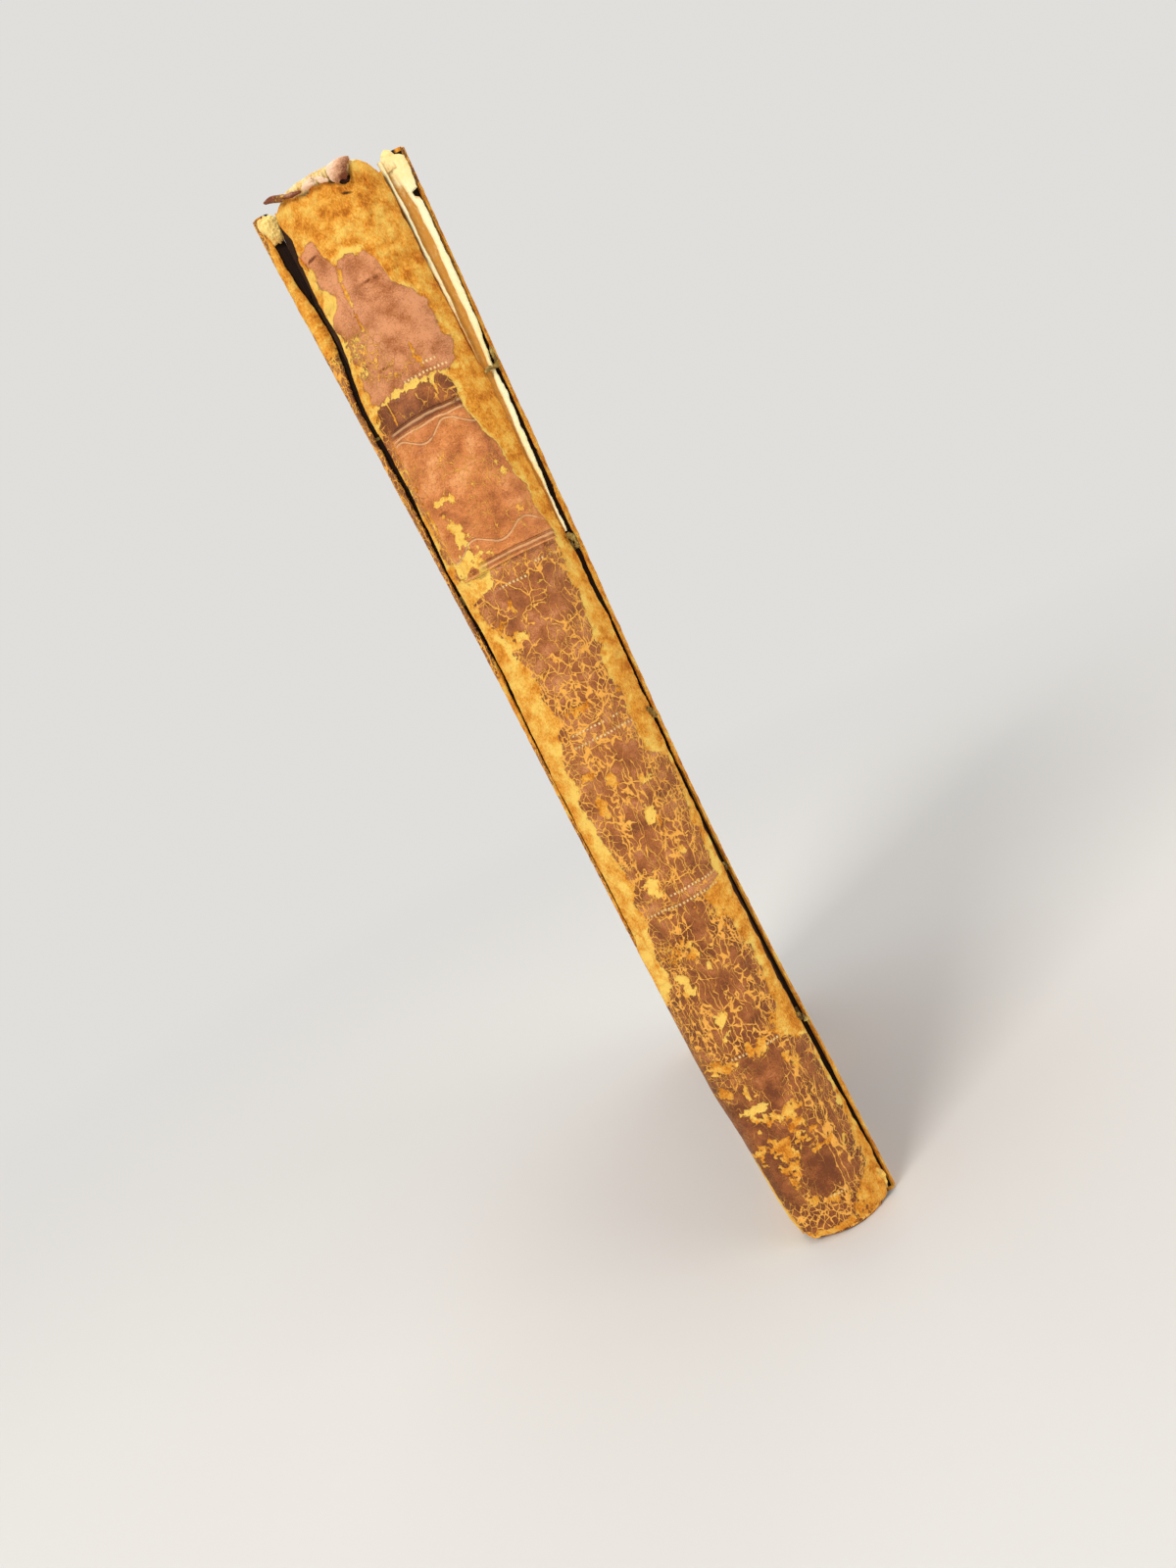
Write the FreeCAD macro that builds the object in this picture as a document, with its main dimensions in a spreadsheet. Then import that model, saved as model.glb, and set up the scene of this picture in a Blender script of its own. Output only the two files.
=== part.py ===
import FreeCAD, Part
import math
import os

import Sketcher

# A worn full-leather book of twelvemo size, standing upright on its tail.
# Its own frame has X across the thickness (front board at +X), Y from the spine to the
# fore-edge and Z up to the head. Every piece is drawn about one upright line, the centre
# of the rounded spine, and its Placement then centres the whole book over the origin.
# All lengths are in millimetres and all angles in degrees.

os.makedirs("parts", exist_ok=True)

SIZES = {
    # covers
    "cover_height": 179.0,
    "board_width": 101.5,
    "board_thickness": 1.8,
    "leather_thickness": 0.6,
    "turn_in_thickness": 0.3,
    "turn_in_width": 13.0,
    "pastedown_thickness": 0.15,
    "pastedown_margin": 4.0,
    # warp of each cover: half thickness of the book at the deepest point of the bow, the
    # height of that point, and how much further out the cover is at the head
    "front_half_thickness": 9.55,
    "front_bow_height": 60.0,
    "front_flare": 3.73,
    "back_half_thickness": 9.3,
    "back_bow_height": 20.0,
    "back_flare": 2.24,
    # joint between the shoulders of the block and the boards
    "joint_level": 5.8,
    "hinge_gap": 0.3,
    # text block
    "block_spine_radius": 10.2,
    "block_half_thickness": 5.6,
    "tail_square": 3.2,
    "head_square": 2.0,
    "fore_edge_square": 3.6,
    "fore_edge_hollow": 2.0,
    # sewing cords sunk in saw kerfs across the spine
    "cord_diameter": 1.8,
    "cord_sweep": 86.0,
    "kerf_sweep": 112.0,
    "kerf_opening": 1.5,
    "band_first": 33.9,
    "band_spacing": 27.6,
    # laced-in cord ends in the boards
    "slip_width": 2.4,
    "slip_depth": 0.8,
    "slip_length": 9.4,
    "slip_hole": 2.4,
    "cut_allowance": 0.2,
    # spine: lining, leather, tail cap
    "lining_thickness": 0.3,
    "lining_level": 6.9,
    "spine_leather_thickness": 0.8,
    "spine_front_level": 6.9,
    "spine_back_level": 6.4,
    "cap_inner_radius": 8.0,
    "cap_thickness": 0.8,
    # endbands
    "head_band_diameter": 2.6,
    "tail_band_diameter": 2.4,
    "endband_sweep": 90.0,
    # title label
    "label_thickness": 0.25,
    "label_rise": 1.6,
    "label_height": 23.0,
    "label_front_level": 8.0,
    "label_back_level": 8.9,
    # flyleaves
    "flyleaf_thickness": 0.15,
    "flyleaf_step": 0.27,
    "flyleaf_setback": 0.3,
    "front_leaf_flare_1": 1.09,
    "front_leaf_flare_2": 1.98,
    "front_leaf_flare_3": 2.88,
    "back_leaf_flare_1": 1.03,
    "back_leaf_flare_2": 1.76,
    # torn strip of paper left along the front joint: corners across it and down from the head
    "strip_root": 8.45,
    "strip_foot_drop": 62.0,
    "strip_low_x": 9.7,
    "strip_low_drop": 55,
    "strip_mid_x": 11.2,
    "strip_mid_drop": 28,
    "strip_notch_x": 11.3,
    "strip_notch_drop": 13,
    "strip_lip_x": 12.35,
    "strip_lip_drop": 10.5,
    "strip_head_x": 12.45,
    "strip_head_drop": 1.4,
    "strip_root_drop": 2.6,
    # torn head of the spine leather, from the back joint to the front joint and down it, with
    # each corner's distance to the side and below the head
    "tear_1_x": 7.6,
    "tear_1_drop": 3.2,
    "tear_2_x": 6.2,
    "tear_2_drop": 2.4,
    "tear_3_x": 3.4,
    "tear_3_drop": 3.8,
    "tear_4_x": 1.2,
    "tear_4_drop": 4,
    "tear_5_x": 2.4,
    "tear_5_drop": 1.8,
    "tear_6_x": 4.8,
    "tear_6_drop": 1.3,
    "tear_7_x": 5.6,
    "tear_7_drop": 2.9,
    "tear_8_x": 7.2,
    "tear_8_drop": 2.4,
    "tear_9_x": 8.2,
    "tear_9_drop": 5.5,
    "tear_10_x": 8.15,
    "tear_10_drop": 21,
    "tear_11_x": 8.5,
    "tear_11_drop": 33,
    "tear_12_x": 8.35,
    "tear_12_drop": 43,
    "tear_13_x": 8.8,
    "tear_13_drop": 58,
    # rubbed corner of the spine leather at the tail, on the back side
    "rub_height": 14.0,
    "rub_1_x": 8.4,
    "rub_1_z": 9.0,
    "rub_2_x": 7.7,
    "rub_2_z": 4.6,
    "rub_3_x": 6.8,
    "rub_3_z": 2.3,
    "rub_4_x": 5.3,
    "rub_4_z": 0.7,
    "rub_5_x": 3.4,
    # crushed tail corner of the back cover beside the spine
    "crush_height": 30.0,
    "crush_x": 7.45,
    "crush_run": 30.0,
    "crush_drift": 2.2,
    # worn corner of the label at the head, on the front side
    "chip_1_x": 3.2,
    "chip_2_x": 4.2,
    "chip_2_drop": 2.7,
    "chip_3_x": 6.9,
    "chip_3_drop": 11.3,
    "chip_4_drop": 19.8,
    # how far cutting outlines run past the leather
    "cut_reach": 13.0,
    "cut_overrun": 1.5,
}
BAND_COUNT = 5
PATTERN_COUNT = 5

doc = FreeCAD.newDocument("leather_book")
sheet = doc.addObject("Spreadsheet::Sheet", "sizes")
for row, (alias, number) in enumerate(SIZES.items(), start=1):
    sheet.set("A%d" % row, alias)
    sheet.set("B%d" % row, "%g" % number)
    sheet.setAlias("B%d" % row, alias)
doc.recompute()


class Size:
    """A number together with the sheet expression that it comes from."""

    def __init__(self, value, text):
        self.value = value
        self.text = text

    def __add__(self, other):
        return Size(self.value + other.value, "(%s + %s)" % (self.text, other.text))

    def __sub__(self, other):
        return Size(self.value - other.value, "(%s - %s)" % (self.text, other.text))

    def __mul__(self, factor):
        return Size(self.value * factor, "(%s * %s)" % (self.text, repr(factor)))

    def __neg__(self):
        return self * -1

    def squared(self):
        return Size(self.value ** 2, "(%s ^ 2)" % self.text)

    def root(self):
        return Size(math.sqrt(self.value), "sqrt(%s)" % self.text)

    def over(self, other):
        return Size(self.value / other.value, "(%s / %s)" % (self.text, other.text))


def size(name):
    """The named cell of the sheet."""
    return Size(SIZES[name], "sizes." + name)


def arc_radius(rise, flare):
    """Radius of the arc that leaves its tangent by the flare at this distance along it."""
    return (rise.squared() + flare.squared()).over(flare * 2)


ZERO = Size(0.0, "0")
LEATHER = size("leather_thickness")
BOARD_IN = LEATHER + size("board_thickness")
TURN_IN = BOARD_IN + size("turn_in_thickness")
COVER_IN = TURN_IN + size("pastedown_thickness")
TOP = size("cover_height")
JOINT = -size("joint_level")
BOARD_EDGE = JOINT + size("hinge_gap")
BLOCK_R = size("block_spine_radius")
LINING_R = BLOCK_R + size("lining_thickness")
SPINE_R = LINING_R + size("spine_leather_thickness")
LABEL_R = SPINE_R + size("label_thickness")
BLOCK_TAIL = size("tail_square")
BLOCK_HEAD = TOP - size("head_square")
BLOCK_HEIGHT = BLOCK_HEAD - BLOCK_TAIL
COVER_END = BOARD_EDGE + size("board_width") + LEATHER
FORE_EDGE = COVER_END - size("fore_edge_square")

front_reach = size("front_half_thickness") + size("front_flare")
back_reach = size("back_half_thickness") + size("back_flare")
MIDDLE_X = (back_reach - front_reach) * 0.5
CENTRE_Y = (LABEL_R - COVER_END) * 0.5

made = []


def new_body(label):
    """A body for one piece, placed so that the whole book stands over the origin."""
    body = doc.addObject("PartDesign::Body", label)
    body.Label = label
    body.Placement = FreeCAD.Placement(FreeCAD.Vector(MIDDLE_X.value, CENTRE_Y.value, 0), FreeCAD.Rotation())
    body.setExpression("Placement.Base.x", MIDDLE_X.text)
    body.setExpression("Placement.Base.y", CENTRE_Y.text)
    made.append(body)
    return body


def origin_feature(body, role):
    """The body's own plane or axis of this role."""
    return next(f for f in body.Origin.OriginFeatures if f.Role == role)


def new_sketch(body, name, role, offset):
    """A sketch on one of the body's planes, moved along the plane's normal."""
    sketch = body.newObject("Sketcher::SketchObject", name)
    sketch.AttachmentSupport = [(origin_feature(body, role), "")]
    sketch.MapMode = "FlatFace"
    sketch.AttachmentOffset = FreeCAD.Placement(FreeCAD.Vector(0, 0, offset.value), FreeCAD.Rotation())
    sketch.setExpression("AttachmentOffset.Base.z", offset.text)
    return sketch


def bind(sketch, kind, first, second, measure):
    """One driving size between two points, or of one curve, bound to the sheet."""
    if second is None:
        index = sketch.addConstraint(Sketcher.Constraint(kind, first, measure.value))
    else:
        index = sketch.addConstraint(Sketcher.Constraint(kind, *first, *second, measure.value))
    sketch.setExpression("Constraints[%d]" % index, measure.text)


def fix_x(sketch, point, measure):
    """Holds a point at this distance along the sketch's first axis."""
    if abs(measure.value) < 1e-9:
        sketch.addConstraint(Sketcher.Constraint("PointOnObject", *point, -2))
    else:
        bind(sketch, "DistanceX", (-1, 1), point, measure)


def fix_y(sketch, point, measure):
    """Holds a point at this distance along the sketch's second axis."""
    if abs(measure.value) < 1e-9:
        sketch.addConstraint(Sketcher.Constraint("PointOnObject", *point, -1))
    else:
        bind(sketch, "DistanceY", (-1, 1), point, measure)


def band(sketch, centre, outer, inner, end_a, end_b):
    """A closed strip between two arcs about one centre, cut off by two level ends.

    Each end is a side of the centre, -1 or 1, and the end's height in the sketch. Ends on
    one side of the centre make an upright strip, and ends on both sides one that runs
    under the centre.
    """

    def point(radius, end):
        drop = end[1].value - centre[1].value
        reach = end[0] * math.sqrt(radius.value ** 2 - drop ** 2)
        return FreeCAD.Vector(centre[0].value + reach, end[1].value, 0)

    def vertex(arc, target):
        near = sketch.getPoint(arc, 1).distanceToPoint(target)
        return 1 if near < sketch.getPoint(arc, 2).distanceToPoint(target) else 2

    arcs = []
    for radius in (outer, inner):
        if end_a[0] == end_b[0]:
            halfway = point(radius, (end_a[0], (end_a[1] + end_b[1]) * 0.5))
        else:
            halfway = FreeCAD.Vector(centre[0].value, centre[1].value - radius.value, 0)
        arcs.append(sketch.addGeometry(Part.Arc(point(radius, end_a), halfway, point(radius, end_b))))
    for end in (end_a, end_b):
        far = point(outer, end)
        near = point(inner, end)
        line = sketch.addGeometry(Part.LineSegment(far, near))
        sketch.addConstraint(Sketcher.Constraint("Coincident", line, 1, arcs[0], vertex(arcs[0], far)))
        sketch.addConstraint(Sketcher.Constraint("Coincident", line, 2, arcs[1], vertex(arcs[1], near)))
        sketch.addConstraint(Sketcher.Constraint("Horizontal", line))
        fix_y(sketch, (line, 1), end[1])
    sketch.addConstraint(Sketcher.Constraint("Coincident", arcs[1], 3, arcs[0], 3))
    fix_x(sketch, (arcs[0], 3), centre[0])
    fix_y(sketch, (arcs[0], 3), centre[1])
    bind(sketch, "Radius", arcs[0], None, outer)
    bind(sketch, "Radius", arcs[1], None, inner)


def outline(sketch, corners):
    """A closed outline of straight lines, with every corner bound both ways."""
    points = [FreeCAD.Vector(x.value, y.value, 0) for x, y in corners]
    lines = []
    for start, end in zip(points, points[1:] + points[:1]):
        lines.append(sketch.addGeometry(Part.LineSegment(start, end)))
    for line, following in zip(lines, lines[1:] + lines[:1]):
        sketch.addConstraint(Sketcher.Constraint("Coincident", line, 2, following, 1))
    for line, (x, y) in zip(lines, corners):
        fix_x(sketch, (line, 1), x)
        fix_y(sketch, (line, 1), y)


def finish(body, feature, before, grows):
    """Recomputes the body and stops if the feature did not add or remove material."""
    doc.recompute()
    body.Tip = feature
    doc.recompute()
    volume = body.Shape.Volume
    if grows and not volume > before + 1e-3:
        raise RuntimeError("%s adds nothing to %s" % (feature.Name, body.Label))
    if not grows and not volume < before - 1e-3:
        raise RuntimeError("%s removes nothing from %s" % (feature.Name, body.Label))
    return feature


def volume_of(body):
    """The body's volume so far."""
    return 0.0 if body.Shape.isNull() else body.Shape.Volume


def pad(body, name, sketch, length, backwards=False):
    """Raises the sketch by this length, along its normal or against it."""
    before = volume_of(body)
    feature = body.newObject("PartDesign::Pad", name)
    feature.Profile = sketch
    feature.Length = length.value
    feature.setExpression("Length", length.text)
    feature.Reversed = backwards
    return finish(body, feature, before, True)


def pocket(body, name, sketch, length=None):
    """Cuts the sketch away against its normal, by this length or right through."""
    before = volume_of(body)
    feature = body.newObject("PartDesign::Pocket", name)
    feature.Profile = sketch
    if length is None:
        feature.Type = "ThroughAll"
    else:
        feature.Length = length.value
        feature.setExpression("Length", length.text)
    return finish(body, feature, before, False)


def turned(body, name, kind, sketch, sweep):
    """Turns the sketch about the upright axis by this angle, half to each side."""
    before = volume_of(body)
    feature = body.newObject(kind, name)
    feature.Profile = sketch
    feature.ReferenceAxis = (origin_feature(body, "Z_Axis"), [""])
    feature.Angle = sweep.value
    feature.setExpression("Angle", sweep.text)
    feature.Midplane = True
    return finish(body, feature, before, kind == "PartDesign::Revolution")


def ring(body, name, outer, inner, base, height, front_level, back_level):
    """Pads a strip of the rounded spine between two radii."""
    sketch = new_sketch(body, name + "_sketch", "XY_Plane", base)
    band(sketch, (ZERO, ZERO), outer, inner, (1, -front_level), (-1, -back_level))
    return pad(body, name, sketch, height)


def rod(label, radius, diameter, height, sweep):
    """A round cord bent about the spine's centre line."""
    body = new_body(label)
    sketch = new_sketch(body, label + "_sketch", "YZ_Plane", ZERO)
    circle = sketch.addGeometry(
        Part.Circle(FreeCAD.Vector(-radius.value, height.value, 0), FreeCAD.Vector(0, 0, 1), diameter.value / 2)
    )
    fix_x(sketch, (circle, 3), -radius)
    fix_y(sketch, (circle, 3), height)
    bind(sketch, "Radius", circle, None, diameter * 0.5)
    turned(body, label + "_bend", "PartDesign::Revolution", sketch, sweep)
    return body


# Text block: one solid of folded sections with a rounded spine, flat shoulders for the
# boards and a hollow fore-edge. Five saw kerfs hold the cords.
block = new_body("text_block")
profile = new_sketch(block, "block_profile", "XY_Plane", BLOCK_TAIL)
half = size("block_half_thickness")
hollow = size("fore_edge_hollow")
hollow_radius = (half.squared() + hollow.squared()).over(hollow * 2)
shoulder = math.sqrt(BLOCK_R.value ** 2 - JOINT.value ** 2)
right_tip = FreeCAD.Vector(shoulder, JOINT.value, 0)
left_tip = FreeCAD.Vector(-shoulder, JOINT.value, 0)
right_root = FreeCAD.Vector(half.value, JOINT.value, 0)
left_root = FreeCAD.Vector(-half.value, JOINT.value, 0)
right_fore = FreeCAD.Vector(half.value, FORE_EDGE.value, 0)
left_fore = FreeCAD.Vector(-half.value, FORE_EDGE.value, 0)
spine_arc = profile.addGeometry(Part.Arc(right_tip, FreeCAD.Vector(0, -BLOCK_R.value, 0), left_tip))
fore_arc = profile.addGeometry(
    Part.Arc(left_fore, FreeCAD.Vector(0, FORE_EDGE.value - hollow.value, 0), right_fore)
)
edges = [
    profile.addGeometry(Part.LineSegment(right_tip, right_root)),
    profile.addGeometry(Part.LineSegment(right_root, right_fore)),
    profile.addGeometry(Part.LineSegment(left_fore, left_root)),
    profile.addGeometry(Part.LineSegment(left_root, left_tip)),
]


def end_at(arc, target):
    """Which end of the arc lies at this point."""
    near = profile.getPoint(arc, 1).distanceToPoint(target)
    return 1 if near < profile.getPoint(arc, 2).distanceToPoint(target) else 2


profile.addConstraint(Sketcher.Constraint("Coincident", edges[0], 1, spine_arc, end_at(spine_arc, right_tip)))
profile.addConstraint(Sketcher.Constraint("Coincident", edges[0], 2, edges[1], 1))
profile.addConstraint(Sketcher.Constraint("Coincident", edges[1], 2, fore_arc, end_at(fore_arc, right_fore)))
profile.addConstraint(Sketcher.Constraint("Coincident", edges[2], 1, fore_arc, end_at(fore_arc, left_fore)))
profile.addConstraint(Sketcher.Constraint("Coincident", edges[2], 2, edges[3], 1))
profile.addConstraint(Sketcher.Constraint("Coincident", edges[3], 2, spine_arc, end_at(spine_arc, left_tip)))
profile.addConstraint(Sketcher.Constraint("Coincident", spine_arc, 3, -1, 1))
bind(profile, "Radius", spine_arc, None, BLOCK_R)
fix_y(profile, (edges[0], 1), JOINT)
fix_y(profile, (edges[3], 2), JOINT)
fix_x(profile, (edges[1], 1), half)
fix_y(profile, (edges[1], 1), JOINT)
fix_x(profile, (edges[1], 2), half)
fix_y(profile, (edges[1], 2), FORE_EDGE)
fix_x(profile, (edges[2], 1), -half)
fix_y(profile, (edges[2], 1), FORE_EDGE)
fix_x(profile, (edges[2], 2), -half)
fix_y(profile, (edges[2], 2), JOINT)
bind(profile, "Radius", fore_arc, None, hollow_radius)
pad(block, "block_leaves", profile, BLOCK_HEIGHT)

cord_radius = size("cord_diameter") * 0.5
cord_line = BLOCK_R - cord_radius
kerf = new_sketch(block, "kerf_profile", "YZ_Plane", ZERO)
mouth = -(BLOCK_R + size("kerf_opening"))
low = size("band_first") - cord_radius
high = size("band_first") + cord_radius
bottom_arc = kerf.addGeometry(
    Part.Arc(
        FreeCAD.Vector(-cord_line.value, low.value, 0),
        FreeCAD.Vector(-cord_line.value + cord_radius.value, SIZES["band_first"], 0),
        FreeCAD.Vector(-cord_line.value, high.value, 0),
    )
)
upper = kerf.addGeometry(
    Part.LineSegment(FreeCAD.Vector(-cord_line.value, high.value, 0), FreeCAD.Vector(mouth.value, high.value, 0))
)
wall = kerf.addGeometry(
    Part.LineSegment(FreeCAD.Vector(mouth.value, high.value, 0), FreeCAD.Vector(mouth.value, low.value, 0))
)
lower = kerf.addGeometry(
    Part.LineSegment(FreeCAD.Vector(mouth.value, low.value, 0), FreeCAD.Vector(-cord_line.value, low.value, 0))
)
top_end = 1 if kerf.getPoint(bottom_arc, 1).y > kerf.getPoint(bottom_arc, 2).y else 2
kerf.addConstraint(Sketcher.Constraint("Coincident", upper, 1, bottom_arc, top_end))
kerf.addConstraint(Sketcher.Constraint("Coincident", upper, 2, wall, 1))
kerf.addConstraint(Sketcher.Constraint("Coincident", wall, 2, lower, 1))
kerf.addConstraint(Sketcher.Constraint("Coincident", lower, 2, bottom_arc, 3 - top_end))
fix_x(kerf, (bottom_arc, 3), -cord_line)
fix_x(kerf, (upper, 1), -cord_line)
fix_y(kerf, (upper, 1), high)
fix_x(kerf, (lower, 2), -cord_line)
fix_y(kerf, (lower, 2), low)
fix_x(kerf, (wall, 1), mouth)
fix_y(kerf, (wall, 1), high)
fix_x(kerf, (wall, 2), mouth)
fix_y(kerf, (wall, 2), low)
kerf_cut = turned(block, "kerf_cut", "PartDesign::Groove", kerf, size("kerf_sweep"))
kerfs = block.newObject("PartDesign::LinearPattern", "kerfs")
kerfs.Originals = [kerf_cut]
kerfs.Direction = (origin_feature(block, "Z_Axis"), [""])
kerfs.Length = SIZES["band_spacing"] * (PATTERN_COUNT - 1)
kerfs.setExpression("Length", "sizes.band_spacing * %d" % (PATTERN_COUNT - 1))
kerfs.Occurrences = PATTERN_COUNT
finish(block, kerfs, volume_of(block), False)

# Sewing cords, flush with the rounded spine, numbered from the tail up.
bands = [size("band_first") + size("band_spacing") * step for step in range(BAND_COUNT)]
for number, height in enumerate(bands, start=1):
    rod("sewing_cord_%d" % number, cord_line, size("cord_diameter"), height, size("cord_sweep"))

# Endbands on the head and the tail of the block, against the leather of the spine.
head_band = size("head_band_diameter")
tail_band = size("tail_band_diameter")
rod("head_endband", LINING_R - head_band * 0.5, head_band, BLOCK_HEAD + head_band * 0.5, size("endband_sweep"))
rod("tail_endband", LINING_R - tail_band * 0.5, tail_band, BLOCK_TAIL - tail_band * 0.5, size("endband_sweep"))

# Paper lining pasted on the rounded spine.
lining = new_body("spine_lining")
level = size("lining_level")
ring(lining, "lining_sheet", LINING_R, BLOCK_R, BLOCK_TAIL, BLOCK_HEIGHT, level, level)

# Spine leather with its tail cap. The head is torn off, the front edge is ragged where
# the joint has cracked, and the tail corner on the back side is rubbed round.
leather = new_body("spine_leather")
front_level = size("spine_front_level")
back_level = size("spine_back_level")
ring(leather, "leather_skin", SPINE_R, LINING_R, ZERO, TOP, front_level, back_level)
cap_outer = LINING_R + size("cut_allowance")
cap_thickness = size("cap_thickness")
ring(leather, "tail_cap", cap_outer, size("cap_inner_radius"), ZERO, cap_thickness, front_level, back_level)
reach = size("cut_reach")
overrun = size("cut_overrun")
over_top = TOP + overrun
tear = new_sketch(leather, "tear_outline", "XZ_Plane", reach)
tear_line = [(-reach, over_top), (-reach, TOP - size("tear_1_drop"))]
for number, side in ((1, -1), (2, -1), (3, -1), (4, 1), (5, 1), (6, 1), (7, 1), (8, 1), (9, 1)):
    tear_line.append((size("tear_%d_x" % number) * side, TOP - size("tear_%d_drop" % number)))
for number in (10, 11, 12, 13):
    tear_line.append((size("tear_%d_x" % number), TOP - size("tear_%d_drop" % number)))
tear_line.append((reach, TOP - size("tear_13_drop")))
tear_line.append((reach, over_top))
outline(tear, tear_line)
pocket(leather, "tear_cut", tear)
rub = new_sketch(leather, "rub_outline", "XZ_Plane", reach)
rub_line = [(-reach, -overrun), (-reach, size("rub_height"))]
back_edge = (SPINE_R.squared() - back_level.squared()).root()
rub_line.append((-back_edge, size("rub_height")))
for number in (1, 2, 3, 4):
    rub_line.append((-size("rub_%d_x" % number), size("rub_%d_z" % number)))
rub_line.append((-size("rub_5_x"), ZERO))
rub_line.append((-size("rub_5_x"), -overrun))
outline(rub, rub_line)
pocket(leather, "rub_cut", rub)

# Title label pasted on the spine leather, with one corner worn off.
label = new_body("title_label")
label_front = size("label_front_level")
label_back = size("label_back_level")
label_foot = bands[3] + size("label_rise")
label_top = label_foot + size("label_height")
ring(label, "label_skin", LABEL_R, SPINE_R, label_foot, size("label_height"), label_front, label_back)
chip = new_sketch(label, "chip_outline", "XZ_Plane", reach)
outline(
    chip,
    [
        (size("chip_1_x"), label_top + overrun),
        (size("chip_1_x"), label_top),
        (size("chip_2_x"), label_top - size("chip_2_drop")),
        (size("chip_3_x"), label_top - size("chip_3_drop")),
        ((SPINE_R.squared() - label_front.squared()).root(), label_top - size("chip_4_drop")),
        (reach, label_top - size("chip_4_drop")),
        (reach, label_top + overrun),
    ],
)
pocket(label, "chip_cut", chip)


def leaf(label, side, inner_x, flare, bow_height):
    """One flyleaf: a thin bowed sheet that stands on the shoulder of the block."""
    body = new_body(label)
    radius = arc_radius(BLOCK_HEAD - bow_height, flare)
    sketch = new_sketch(body, label + "_sketch", "XZ_Plane", -JOINT)
    centre = ((inner_x + radius) * side, bow_height)
    outer = radius - size("flyleaf_thickness")
    ends = ((-side, BLOCK_TAIL), (-side, BLOCK_HEAD))
    band(sketch, centre, outer, radius, ends[0], ends[1])
    pad(body, label + "_sheet", sketch, FORE_EDGE - JOINT - size("flyleaf_setback"), True)
    return body


# Flyleaves, numbered from the block outwards. The front ones fan out at the head.
front_leaves = []
for number in (1, 2, 3):
    inner_x = half + size("flyleaf_step") * (number - 1)
    flare = size("front_leaf_flare_%d" % number)
    front_leaves.append(leaf("front_flyleaf_%d" % number, 1, inner_x, flare, size("front_bow_height")))
for number in (1, 2):
    inner_x = half + size("flyleaf_step") * (number - 1)
    flare = size("back_leaf_flare_%d" % number)
    leaf("back_flyleaf_%d" % number, -1, inner_x, flare, size("back_bow_height"))

# The torn strip of the front endpaper's fold, still hanging on the outer flyleaf.
strip = new_sketch(front_leaves[2], "strip_outline", "XZ_Plane", -JOINT)
outline(
    strip,
    [
        (size("strip_root"), TOP - size("strip_foot_drop")),
        (size("strip_low_x"), TOP - size("strip_low_drop")),
        (size("strip_mid_x"), TOP - size("strip_mid_drop")),
        (size("strip_notch_x"), TOP - size("strip_notch_drop")),
        (size("strip_lip_x"), TOP - size("strip_lip_drop")),
        (size("strip_head_x"), TOP - size("strip_head_drop")),
        (size("strip_root"), TOP - size("strip_root_drop")),
    ],
)
pad(front_leaves[2], "joint_strip", strip, size("flyleaf_thickness"))


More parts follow.
